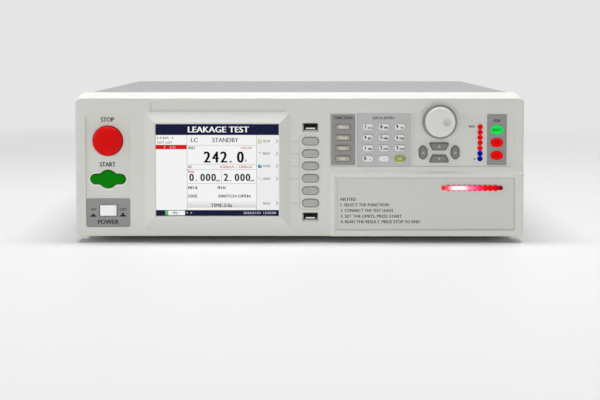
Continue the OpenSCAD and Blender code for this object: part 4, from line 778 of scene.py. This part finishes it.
# Thin raised pieces; each profile is a list of (outward, depth) pairs
softTrim = {  # dark rings that stand in for the shade in the gaps round the soft keys, a painted shade, and lips round them
    "count": 6, "size": (15.4, 7.2), "steps": 48, "gapShadeDark": linear(0.42, 0.415, 0.39),
    "gapShadeProfile": [(0.1, 2.0), (0.1, 0.05), (0.2, -0.08), (0.5, -0.08), (0.62, 0.05), (0.62, 2.0)],
    "lip": [(0.6, 2.0), (0.6, 0.1), (0.68, 0.12), (0.92, 0.35), (0.94, 0.52), (0.68, 0.52), (0.68, 2.0)],
}


def buildSoftTrim(finishes):
    path, normal = pillPath(*softTrim["size"], softTrim["steps"])
    places = [frontOf(f"soft_key_{index + 1}") for index in range(softTrim["count"])]
    gapShadeRings = [collar(path, normal, softTrim["gapShadeProfile"], x, z) for x, _, z in places]
    lips = [collar(path, normal, softTrim["lip"], x, z) for x, _, z in places]
    # the rings' dark colour is painted shade in the gaps
    gapShadeDark = grainFinish("gapShadeMaterial", softTrim["gapShadeDark"], 0.6, 0.3, 0.006, 0.04, specular=0.25)
    buildPiece("softGapShade", gapShadeRings, "chassis", gapShadeDark, True)
    buildPiece("softLips", lips, "chassis", finishes["bezel_plastic"], True)


startRim = {  # a raised rim round START, given a paler tone than the bezel as a painted highlight
    "round": 8.7, "width": 34.2, "wing": 9.4, "blend": 4.0, "steps": (12, 8, 10),
    "tone": linear(0.93, 0.93, 0.91),
    "rim": [(0.7, 1.25), (0.72, 0.9), (0.9, 0.72), (1.3, 0.66), (1.7, 0.75), (1.95, 1.0), (2.0, 1.25)],
}


# outline of the winged START key from three arcs, point = middle + radius * (cos a, sin a): wing end,
# hollow fillet and round middle; the quarter is then mirrored twice
def wingedPath():
    big, half, blend = startRim["round"], startRim["wing"] / 2, startRim["blend"]
    centreZ = half + blend
    centreX = math.sqrt((big + blend) ** 2 - centreZ**2)
    meet = math.atan2(centreZ, centreX)
    wing, hollow, middle = startRim["steps"]
    arcs = [((startRim["width"] / 2 - half, 0), half, np.linspace(0, np.pi / 2, wing), 1),
            ((centreX, centreZ), blend, np.linspace(1.5 * np.pi, np.pi + meet, hollow)[1:], -1),
            ((0, 0), big, np.linspace(meet, np.pi / 2, middle)[1:], 1)]
    rays = [np.stack([np.cos(turn), np.sin(turn)], 1) for _, _, turn, _ in arcs]
    path = np.concatenate([np.array(centre) + ray * radius
                           for (centre, radius, _, _), ray in zip(arcs, rays)])
    normal = np.concatenate([ray * sign for (_, _, _, sign), ray in zip(arcs, rays)])
    for flip in ((-1, 1), (1, -1)):  # across the upright axis, then across the level one
        path = np.concatenate([path, (path * flip)[::-1][1:]])
        normal = np.concatenate([normal, (normal * flip)[::-1][1:]])
    return path[:-1], normal[:-1]


def buildStartRim():
    x, _, z = frontOf("start_button")
    rim = collar(*wingedPath(), startRim["rim"], x, z)
    # the rim's tone, paler than the bezel, is a painted highlight
    pale = grainFinish("startRim", startRim["tone"], 0.35, 0.4, 0.005, 0.01)
    buildPiece("startRim", [rim], "chassis", pale, True)


hosts = {  # the flared shells of the host sockets, with painted shade and a painted highlight, and their tongues
    "socketHigh": 7.3, "shell": (12.26, 4.86, 0.4),
    "flare": [(0.0, 1.05), (0.0, 1.0), (0.42, 0.28), (0.83, -0.43), (1.24, -0.46), (1.26, -0.3), (0.6, 1.05)],
    "dark": [1, 1, 1, 0.6, 0, 0, 0], "highlightBelow": 0.7,  # how much painted shade each point of the flare gets, and how much of it the painted highlight below takes away
    # bright is the painted highlight's colour, shadow the painted shade's
    "bright": linear(0.88, 0.88, 0.87), "shadow": grey(0.08), "tongueTone": linear(0.95, 0.95, 0.95),
    "tongue": (9.3, 1.3, 0.15), "tongueDepth": 1.0, "tongueDrop": 1.1,
}


def buildHosts(inkFinish):
    x = frontOf("usb_sockets")[0]
    low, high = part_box("usb_sockets")  # the two sockets lie at its ends
    half = hosts["socketHigh"] / 2000
    heights = [1000 * (end - panel["base"]) for end in (low.z + half, high.z - half)]
    path, normal = roundedPath(*hosts["shell"])
    flares = [collar(path, normal, hosts["flare"], x, z) for z in heights]
    shadeInward = np.array(hosts["dark"])[None, :, None]  # painted shade inside and on the upper side, painted highlight at the lower lip
    under = np.clip(-normal[:, 1], 0, 1)[:, None, None]
    above = np.clip(normal[:, 1], 0, 1)[:, None, None]
    dark = np.clip(shadeInward * (1 - hosts["highlightBelow"] * under) + above, 0, 1)
    tint = (np.array(hosts["bright"]) * (1 - dark) + np.array(hosts["shadow"]) * dark).reshape(-1, 4)
    parts = [(*flare, tint) for flare in flares]
    buildPiece("hostShells", parts, "chassis", inkFinish)
    outline = roundedPath(*hosts["tongue"], 2)[0]
    parts = [(*slab(outline, hosts["tongueDepth"], x, z - hosts["tongueDrop"]), hosts["tongueTone"])
             for z in heights]
    buildPiece("hostTongues", parts, "chassis", inkFinish)


# a shallow dome on STOP; its edge lies tuck behind the button's face
stopDome = {"radius": 12.5, "high": 1.1, "tuck": 0.02, "sunk": 0.3, "steps": (14, 72)}


# the dome's face stands high * (1 - (out / radius)^2) in front of its edge, and its back is flat
def buildDome(finishes):
    x, depth, z = frontOf("stop_button")
    across, around = stopDome["steps"]
    outward = np.linspace(0, stopDome["radius"], across)
    edge = depth + stopDome["tuck"]
    face = edge - stopDome["high"] * (1 - (outward / stopDome["radius"]) ** 2)
    back = edge + stopDome["sunk"]
    profile = [*zip(outward, face), (stopDome["radius"], back), (0, back)]
    turn = np.linspace(0, 2 * np.pi, around, endpoint=False)
    ray = np.stack([np.cos(turn), np.sin(turn)], 1)
    dome = collar(ray * 0.0, ray, profile, x, z)
    buildPiece("stopDome", [dome], "stop_button", finishes["stop_red"], True)
    print("trim built")


# The picture is laid out in the display's own pixels: x to the right, y down, 640 by 480
screen = {
    "across": 640, "down": 480, "wordLayer": 3,
    "margin": 0.2, "layer": 0.02, "thick": 0.02,  # mm: past the window's edge, step between layers, a shape
}
screen["x"], screen["back"], screen["z"] = frontOf("lcd_module")
screen["width"], screen["height"] = [side + 2 * screen["margin"] for side in sizeOf("screen_glass")]
picture = {
    "navy": linear(0.035, 0.07, 0.22), "white": grey(0.975), "soft": grey(0.945), "mid": grey(0.38),
    "red": linear(0.86, 0.02, 0.04), "black": grey(0.04), "dark": grey(0.25), "shadeLow": grey(0.83),
    "pale": linear(0.86, 0.89, 0.95), "warm": linear(0.84, 0.24, 0.26), "rule": linear(0.72, 0.78, 0.79),
    "leaf": linear(0.45, 0.8, 0.5), "leafLow": linear(0.3, 0.68, 0.36),
    "boxes": [  # x0, y0, x1, y1, layer, upper colour, lower colour
        (0, 0, 640, 480, 0, "white", "white"), (0, 0, 640, 58, 1, "navy", "navy"),
        (0, 450, 640, 480, 1, "navy", "navy"), (525, 58, 640, 450, 1, "soft", "soft"),
        (160, 58, 163, 450, 2, "rule", "rule"), (522, 58, 525, 450, 2, "rule", "rule"),
        (163, 110, 522, 112.5, 2, "rule", "rule"), (163, 210, 522, 212.5, 2, "rule", "rule"),
        (163, 237, 522, 239.5, 2, "rule", "rule"), (163, 310, 522, 312.5, 2, "rule", "rule"),
        (340, 239, 342.5, 311, 2, "rule", "rule"), (0, 109, 160, 132, 2, "red", "red"),
        (163, 402, 522, 437, 1, "white", "shadeLow"), (47, 453, 150, 477, 2, "white", "white"),
        (47, 453, 63, 477, 3, "leaf", "leafLow"), (159, 462, 163, 467, 2, "white", "white"),
        (180, 462, 185, 467, 2, "white", "white"), (76, 463, 88, 465, 3, "rule", "rule"),
        (112, 463, 126, 465, 3, "rule", "rule"),
    ],
    "words": [  # words, capitals' height, x, y, width, side, colour, weight
        ("LEAKAGE TEST", 30, 326, 29, 318, "middle", "white", 0.1),
        ("STEP: 1", 12, 4, 74, 86, "left", "dark", 0.05),
        ("TEST LIST", 11, 4, 97, 82, "left", "dark", 0.05),
        ("1   LC", 11, 44, 121, 58, "left", "pale", 0.0),
        ("LC", 22, 183, 84, 37, "left", "dark", 0.05),
        ("STANDBY", 23, 362, 84, 136, "middle", "dark", 0.05),
        ("VOLT", 14, 168, 125, 38, "left", "black", 0.1),
        ("242.0V", 12, 501, 125, 60, "right", "warm", 0.06),
        ("V", 14, 463, 193, 11, "left", "black", 0.08), ("AC", 13, 167, 224, 22, "left", "black", 0.08),
        ("0.000mA ~ 2.000mA", 12, 501, 224, 168, "right", "warm", 0.06),
        ("Rms", 12, 167, 248, 33, "left", "red", 0.1),
        ("mA", 11, 313, 295, 22, "left", "black", 0.08), ("mA", 11, 491, 295, 22, "left", "black", 0.08),
        ("MD-B", 15, 167, 333, 50, "left", "black", 0.1), ("PH-N", 15, 322, 333, 40, "left", "black", 0.1),
        ("STATIC", 15, 167, 377, 50, "left", "black", 0.1),
        ("SWITCH OPEN", 15, 324, 377, 168, "left", "black", 0.1),
        ("TIME:3.0s", 18, 340, 425, 112, "middle", "dark", 0.07),
        ("SETUP", 12, 558, 90, 37, "left", "mid", 0.05), ("RESULT", 12, 558, 154, 37, "left", "mid", 0.05),
        ("SYSTEM", 12, 558, 220, 37, "left", "mid", 0.05), ("GRAPH", 12, 558, 286, 37, "left", "mid", 0.05),
        ("BACK", 12, 558, 415, 37, "left", "mid", 0.05), ("0%", 13, 99, 465, 24, "middle", "dark", 0.05),
        ("2024/01/01 12:00:00", 11, 625, 465, 170, "right", "pale", 0.0),
    ],
    "chevrons": (90, 154, 220, 286, 415),  # heights of the arrow heads, whose outline follows
    "chevron": [(622, -10), (625, -10), (637, 0), (625, 10), (622, 10), (633, 0)],
    "balls": [  # x, y, width, height, layer, colour
        (540, 91, 22, 24, 3, linear(0.8, 0.79, 0.5)), (541, 90, 10, 10, 4, linear(0.95, 0.94, 0.85)),
        (541, 221, 22, 19, 3, linear(0.12, 0.55, 0.75)), (544, 217, 8, 7, 4, linear(0.75, 0.88, 0.95)),
        (535, 281, 7, 7, 3, linear(0.95, 0.6, 0.62)), (541, 285, 5, 5, 3, linear(0.95, 0.6, 0.62)),
        (548, 292, 7, 7, 3, linear(0.95, 0.6, 0.62)),
    ],
    "ballSteps": 20,
    "arc": {"at": (540, 154), "turn": (-2.6, 0.6, 12), "radii": (8, 5.5), "colour": linear(0.55, 0.57, 0.62)},
    # shares of a cell: a figure's width; a point's place, width and height
    "digitFill": 0.84, "point": (0.33, 0.2, 0.15),
    "digits": [  # figures, height, first cell's left, y of the middle, width of a cell, stroke weight
        ("242.0", 57, 245, 173, 43.3, 0.1), ("0.000", 37, 171, 279, 28.7, 0.1),
        ("2.000", 37, 350, 279, 28.7, 0.1),
    ],
}


# (x, in front or behind, y) in pixels to mm on the panel: x = middle + (pixel / 640 - 1/2) * width
def onDisplay(points, layer):
    back = screen["back"] - screen["layer"] * layer
    x = screen["x"] + (points[:, 0] / screen["across"] - 0.5) * screen["width"]
    z = screen["z"] - (points[:, 2] / screen["down"] - 0.5) * screen["height"]
    return np.stack([x, back - np.where(points[:, 1] < 0, screen["thick"], 0.0), z], 1)


def pixelShape(outline, layer, colour):  # a flat shape from its outline in pixels
    points, faces = slab(outline, 0.0)
    return onDisplay(points, layer), faces, colour


def pixelBox(x0, y0, x1, y1, layer, upper, lower):  # its colour runs from the upper to the lower one
    points, faces, _ = pixelShape([(x0, y0), (x1, y0), (x1, y1), (x0, y1)], layer, None)
    high = np.array([[1.0], [1.0], [0.0], [0.0]] * 2)
    return points, faces, np.array(picture[upper]) * high + np.array(picture[lower]) * (1 - high)


def pixelWords(words, height, x, y, width, side, colour, weight):
    points, faces = wordSlab(words, height, 0.0, x, -y, width, side, weight)
    return onDisplay(points * np.array([1, 1, -1]), screen["wordLayer"]), faces, picture[colour]


def pixelIcons():  # menu symbols and arrow heads in the right column
    layer, arc = screen["wordLayer"], picture["arc"]
    parts = [pixelShape([(x, y + dy) for x, dy in picture["chevron"]], layer, picture["mid"])
             for y in picture["chevrons"]]
    parts += [pixelShape(ellipsePath(wide, high, picture["ballSteps"]) + (x, y), ballLayer, colour)
              for x, y, wide, high, ballLayer, colour in picture["balls"]]
    bend = np.linspace(*arc["turn"])
    outline = np.concatenate([np.stack([np.cos(turn), np.sin(turn)], 1) * radius + arc["at"]
                              for radius, turn in zip(arc["radii"], (bend, bend[::-1]))])
    return [*parts, pixelShape(outline, layer, arc["colour"])]


def pixelFigure(figure, height, left, y, cell, weight):  # one figure or point in its cell
    if figure != ".":
        wide = picture["digitFill"] * cell
        return pixelWords(figure, height, left + cell / 2, y, wide, "middle", "black", weight)
    place, wide, tall = picture["point"]
    x0, y1 = left + cell * (place - wide / 2), y + height / 2
    x1, y0 = x0 + wide * cell, y1 - tall * height
    return pixelShape([(x0, y0), (x1, y0), (x1, y1), (x0, y1)], screen["wordLayer"], picture["black"])


def drawPicture():
    parts = [pixelBox(*row) for row in picture["boxes"]]
    parts += [pixelWords(*row) for row in picture["words"]]
    for figures, height, left, y, cell, weight in picture["digits"]:
        parts += [pixelFigure(figure, height, left + cell * index, y, cell, weight)
                  for index, figure in enumerate(figures)]
    parts += pixelIcons()
    buildPiece("screenPicture", parts, "chassis", tintFinish("screenLight", 0.3, 1.0))
    print("picture drawn")


buildCamera()
buildLamps()
buildWorld()
buildFloor()
print("studio lit")
finishes = finishNodes()
inkFinish = tintFinish("printInk")
printFront(inkFinish)
printNumberKeys(inkFinish)
printShiftKey(inkFinish)
buildSleeves(inkFinish)
printFunctionKeys(inkFinish)
printArrows(inkFinish)
printLamps(inkFinish)
buildSoftTrim(finishes)
buildStartRim()
buildHosts(inkFinish)
buildDome(finishes)
drawPicture()
